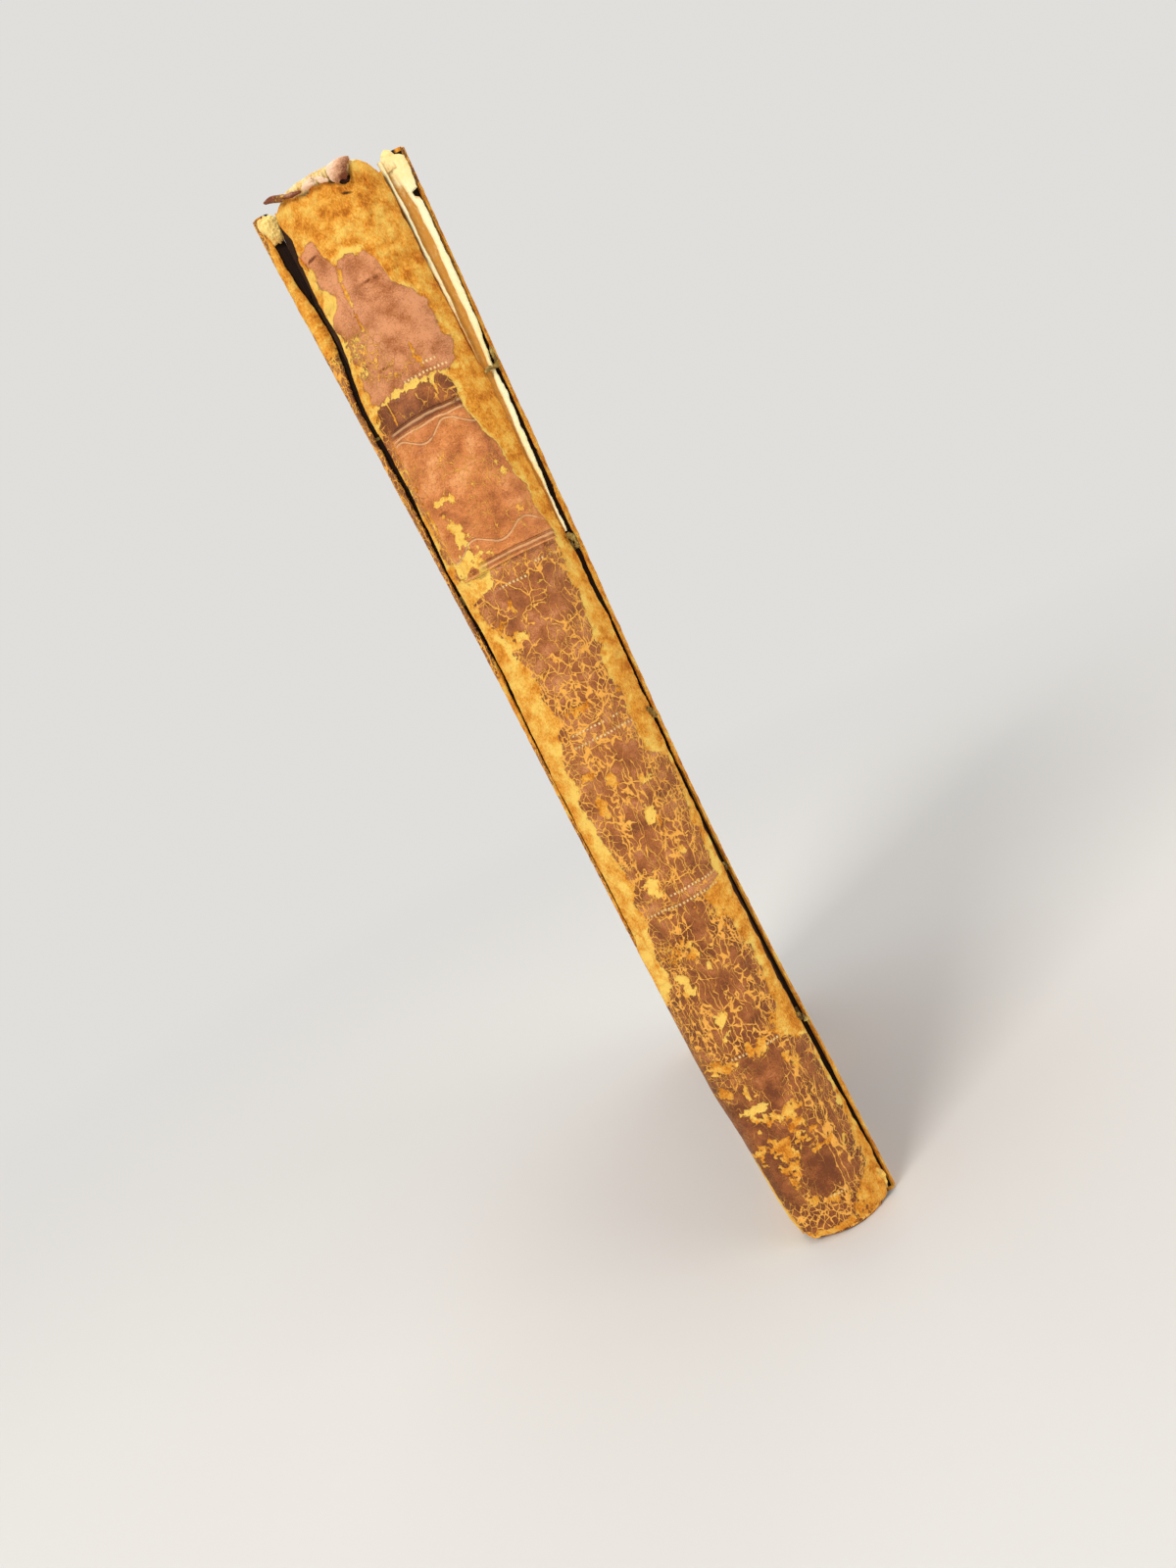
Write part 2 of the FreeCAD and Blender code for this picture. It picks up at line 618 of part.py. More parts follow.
def cover(name, side):
    """One cover: board, leather turned in round three edges, pastedown and cord ends."""
    thickness = size(name + "_half_thickness")
    bow_height = size(name + "_bow_height")
    radius = arc_radius(TOP - bow_height, size(name + "_flare"))
    centre = ((thickness + radius) * side, bow_height)
    turn_in = size("turn_in_width")
    width = size("board_width")
    allowance = size("cut_allowance")

    def plate(body, label, near, far, foot, head, start):
        sketch = new_sketch(body, label, "XZ_Plane", -start)
        ends = ((-side, foot), (-side, head))
        band(sketch, centre, radius + near, radius + far, ends[0], ends[1])
        return sketch

    def crush(body, label):
        sketch = new_sketch(body, label + "_sketch", "XZ_Plane", -BOARD_EDGE)
        outline(
            sketch,
            [
                (size("crush_x") * side, -overrun),
                (thickness * side, size("crush_height")),
                (reach * side, size("crush_height")),
                (reach * side, -overrun),
            ],
        )
        before = volume_of(body)
        cut = body.newObject("PartDesign::Pocket", label)
        cut.Profile = sketch
        cut.UseCustomVector = True
        cut.AlongSketchNormal = True
        drift = size("crush_drift") * side
        run = size("crush_run")
        cut.Direction = FreeCAD.Vector(drift.value, run.value, 0)
        cut.setExpression("Direction.x", drift.text)
        cut.setExpression("Direction.y", run.text)
        cut.Length = run.value
        cut.setExpression("Length", run.text)
        finish(body, cut, before, False)

    skin = new_body(name + "_leather")
    outside = plate(skin, name + "_skin_sketch", ZERO, TURN_IN, ZERO, TOP, BOARD_EDGE)
    pad(skin, name + "_skin", outside, width + LEATHER, True)
    room = plate(skin, name + "_room_sketch", LEATHER, BOARD_IN, LEATHER, TOP - LEATHER, BOARD_EDGE)
    pocket(skin, name + "_room", room, width)
    window = plate(
        skin, name + "_window_sketch", BOARD_IN - allowance, TURN_IN + allowance, turn_in, TOP - turn_in, BOARD_EDGE
    )
    pocket(skin, name + "_window", window, width - turn_in)

    board = new_body(name + "_board")
    blank = plate(board, name + "_board_sketch", LEATHER, BOARD_IN, LEATHER, TOP - LEATHER, BOARD_EDGE)
    pad(board, name + "_board_plate", blank, width, True)
    if side < 0:
        crush(skin, name + "_skin_crush")
        crush(board, name + "_board_crush")

    slip_half = size("slip_width") * 0.5
    slip_floor = LEATHER + size("slip_depth")
    hole_start = BOARD_EDGE + size("slip_length") - size("slip_hole")
    for number, height in enumerate(bands, start=1):
        foot = height - slip_half
        head = height + slip_half
        tag = "%s_lace_%d" % (name, number)
        channel = plate(board, tag + "_channel_sketch", LEATHER - allowance, slip_floor, foot, head, BOARD_EDGE)
        pocket(board, tag + "_channel", channel, size("slip_length"))
        hole = plate(board, tag + "_hole_sketch", LEATHER - allowance, BOARD_IN + allowance, foot, head, hole_start)
        pocket(board, tag + "_hole", hole, size("slip_hole"))
        slip = new_body("%s_slip_%d" % (name, number))
        run = plate(slip, tag + "_run_sketch", LEATHER, slip_floor, foot, head, BOARD_EDGE)
        pad(slip, tag + "_run", run, size("slip_length"), True)
        plug = plate(slip, tag + "_plug_sketch", LEATHER, BOARD_IN, foot, head, hole_start)
        pad(slip, tag + "_plug", plug, size("slip_hole"), True)

    paper = new_body(name + "_pastedown")
    margin = size("pastedown_margin")
    sheet_size = size("pastedown_thickness")
    border = plate(paper, name + "_border_sketch", TURN_IN, COVER_IN, margin, TOP - margin, BOARD_EDGE)
    pad(paper, name + "_border", border, width + LEATHER - margin, True)
    bed = plate(paper, name + "_bed_sketch", BOARD_IN, COVER_IN, turn_in, TOP - turn_in, BOARD_EDGE)
    pad(paper, name + "_bed", bed, width - turn_in, True)
    dip = plate(
        paper,
        name + "_dip_sketch",
        BOARD_IN + sheet_size,
        COVER_IN + allowance,
        turn_in + sheet_size,
        TOP - turn_in - sheet_size,
        BOARD_EDGE,
    )
    pocket(paper, name + "_dip", dip, width - turn_in - sheet_size)


cover("front", 1)
cover("back", -1)

doc.recompute()
for item in doc.Objects:
    if "Invalid" in item.State or "Error" in item.State:
        raise RuntimeError("%s did not compute: %s" % (item.Label, item.State))
for body in made:
    shape = body.Shape
    if shape.isNull() or not shape.isValid():
        raise RuntimeError("%s has no valid shape" % body.Label)
    if len(shape.Solids) != 1:
        raise RuntimeError("%s has %d solids" % (body.Label, len(shape.Solids)))
    shape.exportStep("parts/%s.step" % body.Label)
    box = shape.BoundBox
    print(
        "%-18s volume %9.2f  x %7.2f %7.2f  y %7.2f %7.2f  z %7.2f %7.2f"
        % (body.Label, shape.Volume, box.XMin, box.XMax, box.YMin, box.YMax, box.ZMin, box.ZMax)
    )
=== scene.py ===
"""Looks of a worn leather-bound book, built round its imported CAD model.

Every local length is in millimetres and measured from the upright centre line of the
rounded spine: x towards the front cover, y towards the fore-edge, z up to the head.
Meshes are placed in metres in the row frame.
"""

import logging
from dataclasses import dataclass
from enum import Enum
from typing import Optional

import bmesh
import bpy
import numpy as np
from mathutils import Matrix, Vector


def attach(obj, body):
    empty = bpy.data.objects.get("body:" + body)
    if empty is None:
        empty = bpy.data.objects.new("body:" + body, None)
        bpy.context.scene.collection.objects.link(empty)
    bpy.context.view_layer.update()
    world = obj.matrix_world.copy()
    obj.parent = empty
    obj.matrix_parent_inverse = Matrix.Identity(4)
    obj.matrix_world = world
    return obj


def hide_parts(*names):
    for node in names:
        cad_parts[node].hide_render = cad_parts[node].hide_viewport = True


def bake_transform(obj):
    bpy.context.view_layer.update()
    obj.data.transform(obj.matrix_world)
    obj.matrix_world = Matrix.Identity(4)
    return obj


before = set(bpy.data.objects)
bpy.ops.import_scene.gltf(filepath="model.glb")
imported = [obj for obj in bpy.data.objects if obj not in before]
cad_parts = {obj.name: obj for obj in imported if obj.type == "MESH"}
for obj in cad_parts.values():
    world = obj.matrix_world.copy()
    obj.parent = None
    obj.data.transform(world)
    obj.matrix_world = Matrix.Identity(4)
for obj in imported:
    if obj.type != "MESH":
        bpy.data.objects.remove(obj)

logging.basicConfig(level=logging.INFO, format="%(name)s: %(message)s")
LOG = logging.getLogger("book")

Array = np.ndarray
Socket = bpy.types.NodeSocket


class Part(str, Enum):
    """The three rigid bodies of the book."""

    BLOCK = "book_block"
    FRONT = "front_cover"
    BACK = "back_cover"


class Slot(str, Enum):
    """The material slots of the record."""

    LEAVES = "leaves"
    ENDPAPER = "endpaper"
    CORD = "cord"
    ENDBAND = "endband"
    LEATHER = "cover_leather"
    LABEL = "label_leather"
    BOARD = "pasteboard"


@dataclass(frozen=True)
class BookSizes:
    """Sizes shared by all the pieces, as the CAD source has them."""

    centre_x: float = -0.87
    centre_y: float = -42.525
    cover_top: float = 179.0
    cover_end: float = 96.6
    joint_y: float = -5.8
    edge_y: float = -5.5
    block_radius: float = 10.2
    lining_radius: float = 10.5
    spine_radius: float = 11.3
    block_half: float = 5.6
    block_tail: float = 3.2
    block_head: float = 177.0
    fore_edge: float = 93.0
    shoulder: float = 8.36
    board_corner: float = 6.2
    leather: float = 0.6
    board: float = 1.8
    turn_in: float = 0.3
    paper: float = 0.15

    def place(self, points: Array) -> Array:
        """Moves local millimetres to the row frame in metres.

        Args:
            points: Array of local points, with x, y and z in its last axis.

        Returns:
            The points in metres, one row for each.
        """
        flat = np.asarray(points, float).reshape(-1, 3)
        return (flat + np.array([self.centre_x, self.centre_y, 0.0])) / 1000.0


BOOK = BookSizes()
WELD_DISTANCE = 2e-6
FLAT_LIMIT = 1e-7
LATTICE = 97
SHARP_EDGE = np.radians(50.0)


def linear(red: float, green: float, blue: float) -> tuple:
    """Turns a colour as it looks on screen into the linear values that shaders take."""
    channels = np.array([red, green, blue])
    low = channels / 12.92
    high = ((channels + 0.055) / 1.055) ** 2.4
    made = np.where(channels <= 0.04045, low, high)
    return (float(made[0]), float(made[1]), float(made[2]), 1.0)


def lattice_noise(a: Array, b: Array, cell: float, seed: int) -> Array:
    """Smooth noise from -1 to 1 on a plane.

    Random values stand on a square lattice of this cell, and each point takes the
    smoothstep blend of the four round it.

    Args:
        a: First coordinate of the points.
        b: Second coordinate of the points.
        cell: Size of the lattice.
        seed: Seed of the lattice's values.

    Returns:
        The noise, in the points' own shape.
    """
    values = np.random.default_rng(seed).uniform(-1, 1, (LATTICE, LATTICE))
    p, q = np.broadcast_arrays(np.asarray(a, float) / cell, np.asarray(b, float) / cell)
    i, j = np.floor(p).astype(int), np.floor(q).astype(int)
    f, g = p - i, q - j
    f, g = f * f * (3 - 2 * f), g * g * (3 - 2 * g)
    i0, j0, i1, j1 = i % LATTICE, j % LATTICE, (i + 1) % LATTICE, (j + 1) % LATTICE
    near = values[i0, j0] * (1 - f) + values[i1, j0] * f
    far = values[i0, j1] * (1 - f) + values[i1, j1] * f
    return near * (1 - g) + far * g


def rough_noise(a: Array, b: Array, cell: float, seed: int, octaves: int = 4) -> Array:
    """Sum of lattice noise whose cell and height halve with each octave.

    Args:
        a: First coordinate of the points.
        b: Second coordinate of the points.
        cell: Size of the coarsest lattice.
        seed: Seed of the first octave.
        octaves: Number of octaves.

    Returns:
        The noise, about -1 to 1.
    """
    total = sum(lattice_noise(a, b, cell / 2**k, seed + k) / 2**k for k in range(octaves))
    return total / sum(1 / 2**k for k in range(octaves)) * 1.4


def line_noise(a: Array, cell: float, seed: int) -> Array:
    """Rough noise along a line."""
    return rough_noise(a, np.zeros_like(a), cell, seed)


def smoothstep(low: float, high: float, value: Array) -> Array:
    """Zero below low, one above high, and a smooth rise between them."""
    t = np.clip((value - low) / (high - low), 0, 1)
    return t * t * (3 - 2 * t)


def along(value: Array, pairs: tuple) -> Array:
    """Reads a curve given by (position, height) pairs, in any order, at these values."""
    table = np.array(sorted(pairs), float)
    return np.interp(value, table[:, 0], table[:, 1])


def smooth_along(value: Array, pairs: tuple) -> Array:
    """Reads a curve through (position, height) pairs with rounded corners.

    The straight-line curve is averaged over five places round each value, a fifth of
    the mean spacing of the pairs apart.

    Args:
        value: Where to read the curve.
        pairs: Its (position, height) pairs.

    Returns:
        The heights.
    """
    table = np.array(sorted(pairs), float)
    step = (table[-1, 0] - table[0, 0]) / (len(table) - 1) / 4
    weights = {-2: 0.1, -1: 0.25, 0: 0.3, 1: 0.25, 2: 0.1}
    return sum(w * np.interp(value + k * step, table[:, 0], table[:, 1]) for k, w in weights.items())


def bent_path(at: Array, knots: tuple) -> Array:
    """Points at these shares of the way along a rounded line through the knots."""
    steps = np.linspace(0, 1, len(knots))
    return np.stack([smooth_along(at, tuple(zip(steps, line))) for line in zip(*knots)], -1)


def grid(x: Array, y: Array, z: Array) -> Array:
    """Points from their three coordinates, each spread over the whole grid."""
    return np.stack(np.broadcast_arrays(x, y, z), -1)


def even(like: Array, *numbers: float) -> Array:
    """The same vector at every place of a grid."""
    return grid(*(np.full_like(like, number) for number in numbers))


def numbered(rows: int, cols: int, start: int = 0) -> Array:
    """Numbers of a grid's points, row by row."""
    return start + np.arange(rows * cols).reshape(rows, cols)


def grid_quads(index: Array, flip: bool = False) -> Array:
    """Faces of a grid of numbered points."""
    quads = np.stack([index[:-1, :-1], index[:-1, 1:], index[1:, 1:], index[1:, :-1]], -1).reshape(-1, 4)
    return quads[:, ::-1] if flip else quads


def strip_quads(first: Array, second: Array) -> Array:
    """Faces between two equally long lines of points."""
    return np.stack([first[:-1], first[1:], second[1:], second[:-1]], -1)


def fill(mesh: bpy.types.Mesh, values: dict) -> None:
    """Gives a mesh its attributes.

    Args:
        mesh: The mesh.
        values: Attributes by name, one number or one vector for each point.
    """
    for key, data in values.items():
        data = np.asarray(data, np.float32)
        vector = data.ndim > 1
        attribute = mesh.attributes.new(key, "FLOAT_VECTOR" if vector else "FLOAT", "POINT")
        attribute.data.foreach_set("vector" if vector else "value", data.ravel())


def put_in(item: bpy.types.ID, name: str) -> bpy.types.Object:
    """Puts a mesh, lamp or camera into the scene as an object."""
    piece = bpy.data.objects.new(name, item)
    bpy.context.scene.collection.objects.link(piece)
    return piece


def make_object(name: str, points: Array, faces: Array, values: Optional[dict] = None,
                weld: bool = False) -> bpy.types.Object:
    """Puts points and faces into a new smooth-shaded mesh object at the origin.

    Args:
        name: Name of the piece.
        points: Points in metres.
        faces: Four point numbers for each face.
        values: Attributes by name, one number or one vector for each point.
        weld: Whether points that coincide are merged.

    Returns:
        The object.
    """
    mesh = bpy.data.meshes.new(name)
    mesh.from_pydata(points.tolist(), [], faces.tolist())
    fill(mesh, values or {})
    if weld:
        work = bmesh.new()
        work.from_mesh(mesh)
        bmesh.ops.remove_doubles(work, verts=work.verts, dist=WELD_DISTANCE)
        bmesh.ops.dissolve_degenerate(work, dist=FLAT_LIMIT, edges=work.edges)
        work.to_mesh(mesh)
        work.free()
    mesh.validate()
    mesh.shade_smooth()
    mesh.set_sharp_from_angle(angle=SHARP_EDGE)
    return put_in(mesh, name)


def make_shell(name: str, outer: Array, inner: Array, values: Optional[dict] = None, flip: bool = False,
               weld: bool = False) -> bpy.types.Object:
    """A closed thick sheet between two grids of points.

    The two grids are the sheet's two faces, and four strips join their borders.

    Args:
        name: Name of the piece.
        outer: Outer face, rows by columns by three, local millimetres.
        inner: Inner face, of the same shape.
        values: Attributes on the outer grid, which the inner grid repeats.
        flip: Whether the faces are turned round.
        weld: Whether points that coincide are merged.

    Returns:
        The object.
    """
    far = numbered(*outer.shape[:2])
    count = far.size
    near = far + count
    quads = [grid_quads(far, flip), grid_quads(near, not flip)]
    rims = [
        strip_quads(near[0], far[0]),
        strip_quads(far[-1], near[-1]),
        strip_quads(far[:, 0], near[:, 0]),
        strip_quads(near[:, -1], far[:, -1]),
    ]
    quads += [rim[:, ::-1] if flip else rim for rim in rims]
    doubled = {}
    for key, data in (values or {}).items():
        flat = data.reshape((count,) + data.shape[2:])
        doubled[key] = np.concatenate([flat, flat])
    points = np.concatenate([BOOK.place(outer), BOOK.place(inner)])
    return make_object(name, points, np.concatenate(quads), doubled, weld)


def make_rod(name: str, path: Array, radius: Array, sides: int, values: Optional[dict] = None,
             twist: float = 0.0, lobes: int = 0, depth: float = 0.0) -> bpy.types.Object:
    """A closed round rod along a path, with ridges that may wind round it.

    At each path point a ring of points stands square to the path. Its radius is the
    rod's times one plus depth times the cosine of lobes times the angle, and the angle
    is turned by twist times the length so far. The two ends close to a point.

    Args:
        name: Name of the piece.
        path: Path points, local millimetres.
        radius: Radius at each path point.
        sides: Points in each ring.
        values: Attributes, one number for each path point.
        twist: Turn of the ridges in radians per millimetre.
        lobes: Number of ridges round the rod.
        depth: Height of the ridges as a share of the radius.

    Returns:
        The object.
    """
    steps = np.linalg.norm(np.diff(path, axis=0), axis=1)
    length = np.concatenate([[0], np.cumsum(steps)])
    tangent = np.gradient(path, axis=0)
    tangent /= np.linalg.norm(tangent, axis=1, keepdims=True)
    guide = np.array([0.0, 0.0, 1.0]) if abs(tangent[:, 2]).max() < 0.9 else np.array([1.0, 0.0, 0.0])
    side = np.cross(tangent, guide)
    side /= np.linalg.norm(side, axis=1, keepdims=True)
    up = np.cross(side, tangent)
    angle = np.linspace(0, 2 * np.pi, sides, endpoint=False)[None, :]
    turn = angle + twist * length[:, None]
    reach = radius[:, None] * (1 + depth * np.cos(lobes * turn))
    ring = path[:, None, :] + reach[..., None] * (
        np.cos(angle)[..., None] * side[:, None, :] + np.sin(angle)[..., None] * up[:, None, :]
    )
    index = numbered(len(path), sides)
    wrapped = np.concatenate([index, index[:, :1]], axis=1)
    tips = np.full((2, sides), [[index.size], [index.size + 1]])
    caps = np.concatenate([
        np.stack([wrapped[0, 1:], wrapped[0, :-1], tips[0]], -1),
        np.stack([wrapped[-1, :-1], wrapped[-1, 1:], tips[1]], -1),
    ])
    points = np.concatenate([BOOK.place(ring), BOOK.place(path[[0, -1]])])
    mesh = bpy.data.meshes.new(name)
    mesh.from_pydata(points.tolist(), [], grid_quads(wrapped).tolist() + caps.tolist())
    skin = grid(length[:, None], angle * radius.mean(), 0.0).reshape(-1, 3)
    fill(mesh, {"skin": np.concatenate([skin, [[0, 0, 0], [length[-1], 0, 0]]])})
    fill(mesh, {key: np.concatenate([np.repeat(data, sides), data[[0, -1]]]) for key, data in (values or {}).items()})
    work = bmesh.new()
    work.from_mesh(mesh)
    bmesh.ops.recalc_face_normals(work, faces=work.faces)
    work.to_mesh(mesh)
    work.free()
    mesh.shade_smooth()
    return put_in(mesh, name)


class Graph:
    """A node tree under construction, with short calls for the nodes used here."""

    def __init__(self, name: str) -> None:
        """Starts an empty material of this name."""
        self.material = bpy.data.materials.new(name)
        self.material.use_nodes = True
        self.tree = self.material.node_tree
        self.tree.nodes.clear()

    def node(self, kind: str, inputs: Optional[dict] = None, **settings: object) -> bpy.types.Node:
        """Adds one node.

        Args:
            kind: Type of the node.
            inputs: Values or sockets by input name or number.
            settings: Properties of the node.

        Returns:
            The node.
        """
        made = self.tree.nodes.new(kind)
        for key, value in settings.items():
            setattr(made, key, value)
        for key, value in (inputs or {}).items():
            if isinstance(value, Socket):
                self.tree.links.new(value, made.inputs[key])
            elif value is not None:
                made.inputs[key].default_value = value
        return made

    def millimetres(self) -> Socket:
        """Object coordinates in millimetres."""
        place = self.node("ShaderNodeTexCoord").outputs["Object"]
        return self.node("ShaderNodeVectorMath", {0: place, "Scale": 1000.0}, operation="SCALE").outputs[0]

    def vector(self, name: str) -> Socket:
        """A vector attribute of the piece."""
        return self.node("ShaderNodeAttribute", attribute_name=name).outputs["Vector"]

    def value(self, name: str) -> Socket:
        """A number attribute of the piece."""
        return self.node("ShaderNodeAttribute", attribute_name=name).outputs["Fac"]

    def stretch(self, vector: Socket, scale: tuple) -> Socket:
        """The vector times a scale in each direction."""
        return self.node("ShaderNodeVectorMath", {0: vector, 1: scale}, operation="MULTIPLY").outputs[0]

    def split(self, vector: Socket) -> tuple:
        """The three parts of a vector."""
        return tuple(self.node("ShaderNodeSeparateXYZ", {0: vector}).outputs)

    def math(self, operation: str, *values: object, clamp: bool = False) -> Socket:
        """One arithmetic step on values or sockets, held between 0 and 1 where clamp is set."""
        return self.node("ShaderNodeMath", dict(enumerate(values)), operation=operation, use_clamp=clamp).outputs[0]

    def times(self, first: object, second: object) -> Socket:
        """The product of two values or sockets."""
        return self.math("MULTIPLY", first, second)

    def add_share(self, value: object, share: object, base: object, clamp: bool = False) -> Socket:
        """The base plus a share of the value."""
        return self.math("MULTIPLY_ADD", value, share, base, clamp=clamp)

    def sway(self, cloud: Socket, share: float, base: object, clamp: bool = False) -> Socket:
        """The base plus a share of what a cloud differs from its middle, 0.5."""
        return self.add_share(self.math("SUBTRACT", cloud, 0.5), share, base, clamp)

    def rise(self, value: Socket, low: object, high: object, start: float = 0.0, end: float = 1.0) -> Socket:
        """A smooth step from start to end as the value goes from low to high."""
        inputs = {"Value": value, "From Min": low, "From Max": high, "To Min": start, "To Max": end}
        return self.node("ShaderNodeMapRange", inputs, interpolation_type="SMOOTHSTEP").outputs[0]

    def noise(self, vector: Socket, scale: float, detail: float = 3.0, roughness: float = 0.5) -> Socket:
        """Cloudy noise from 0 to 1."""
        inputs = {"Vector": vector, "Scale": scale, "Detail": detail, "Roughness": roughness}
        return self.node("ShaderNodeTexNoise", inputs).outputs["Fac"]

    def warp(self, vector: Socket, scale: float, amount: float) -> Socket:
        """The vector moved about by noise of this scale."""
        cloud = self.node("ShaderNodeTexNoise", {"Vector": vector, "Scale": scale, "Detail": 2.0}).outputs["Color"]
        centred = self.node("ShaderNodeVectorMath", {0: cloud, 1: (0.5, 0.5, 0.5)}, operation="SUBTRACT").outputs[0]
        inputs = {0: centred, 1: (amount, amount, amount), 2: vector}
        return self.node("ShaderNodeVectorMath", inputs, operation="MULTIPLY_ADD").outputs[0]

    def cells(self, vector: Socket) -> Socket:
        """Distance to the border of irregular cells."""
        inputs = {"Vector": vector, "Scale": 1.0, "Randomness": 1.0}
        return self.node("ShaderNodeTexVoronoi", inputs, feature="DISTANCE_TO_EDGE").outputs["Distance"]

    def mix(self, share: object, first: object, second: object) -> Socket:
        """A colour between two others, each a socket or a colour as it looks on screen."""
        first, second = (linear(*colour) if isinstance(colour, tuple) else colour for colour in (first, second))
        return self.node("ShaderNodeMix", {0: share, 6: first, 7: second}, data_type="RGBA").outputs[2]

    def ramp(self, value: Socket, stops: tuple) -> Socket:
        """A colour read from a row of (position, colour on screen) stops."""
        made = self.node("ShaderNodeValToRGB", {0: value})
        line = made.color_ramp
        while len(line.elements) < len(stops):
            line.elements.new(0.5)
        for element, (position, colour) in zip(line.elements, stops):
            element.position = position
            element.color = linear(*colour)
        return made.outputs[0]

    def bump(self, height: Socket, distance: float, strength: float) -> Socket:
        """A bumped normal, with the height given in this many metres."""
        return self.node("ShaderNodeBump", {"Height": height, "Distance": distance, "Strength": strength}).outputs[0]

    def finish(self, colour: object, roughness: object, normal: Optional[Socket] = None, specular: float = 0.4,
               sheen: float = 0.0, through: float = 0.0) -> bpy.types.Material:
        """Ends the tree with its shader.

        Args:
            colour: Base colour, value or socket.
            roughness: Roughness, value or socket.
            normal: Bumped normal.
            specular: Specular level.
            sheen: Sheen weight.
            through: Weight of light scattered under the surface.

        Returns:
            The finished material.
        """
        inputs = {
            "Base Color": colour,
            "Roughness": roughness,
            "Normal": normal,
            "Specular IOR Level": specular,
            "Sheen Weight": sheen,
            "Subsurface Weight": through,
        }
        shader = self.node("ShaderNodeBsdfPrincipled", inputs)
        if through:
            shader.inputs["Subsurface Radius"].default_value = (0.6, 0.4, 0.2)
            shader.inputs["Subsurface Scale"].default_value = 0.0008
        out = self.node("ShaderNodeOutputMaterial")
        self.tree.links.new(shader.outputs[0], out.inputs[0])
        return self.material


class Tool(Enum):
    """How a tooled line looks now."""

    DOTTED = "gold dots"
    # Darkened by the tool, and darker still as painted shade in the groove.
    PRESSED = "dark groove"
    # Pale as a painted highlight along the tooled edge.
    HIGHLIT = "pale groove"


@dataclass(frozen=True)
class Rule:
    """A tooled line across the spine at a height, straight or waved."""

    height: float
    tool: Tool = Tool.DOTTED
    wave: float = 0.0
    period: float = 8.0
    shift: float = 0.0
    left: float = -8.5
    right: float = 8.0
    gaps: float = 0.44


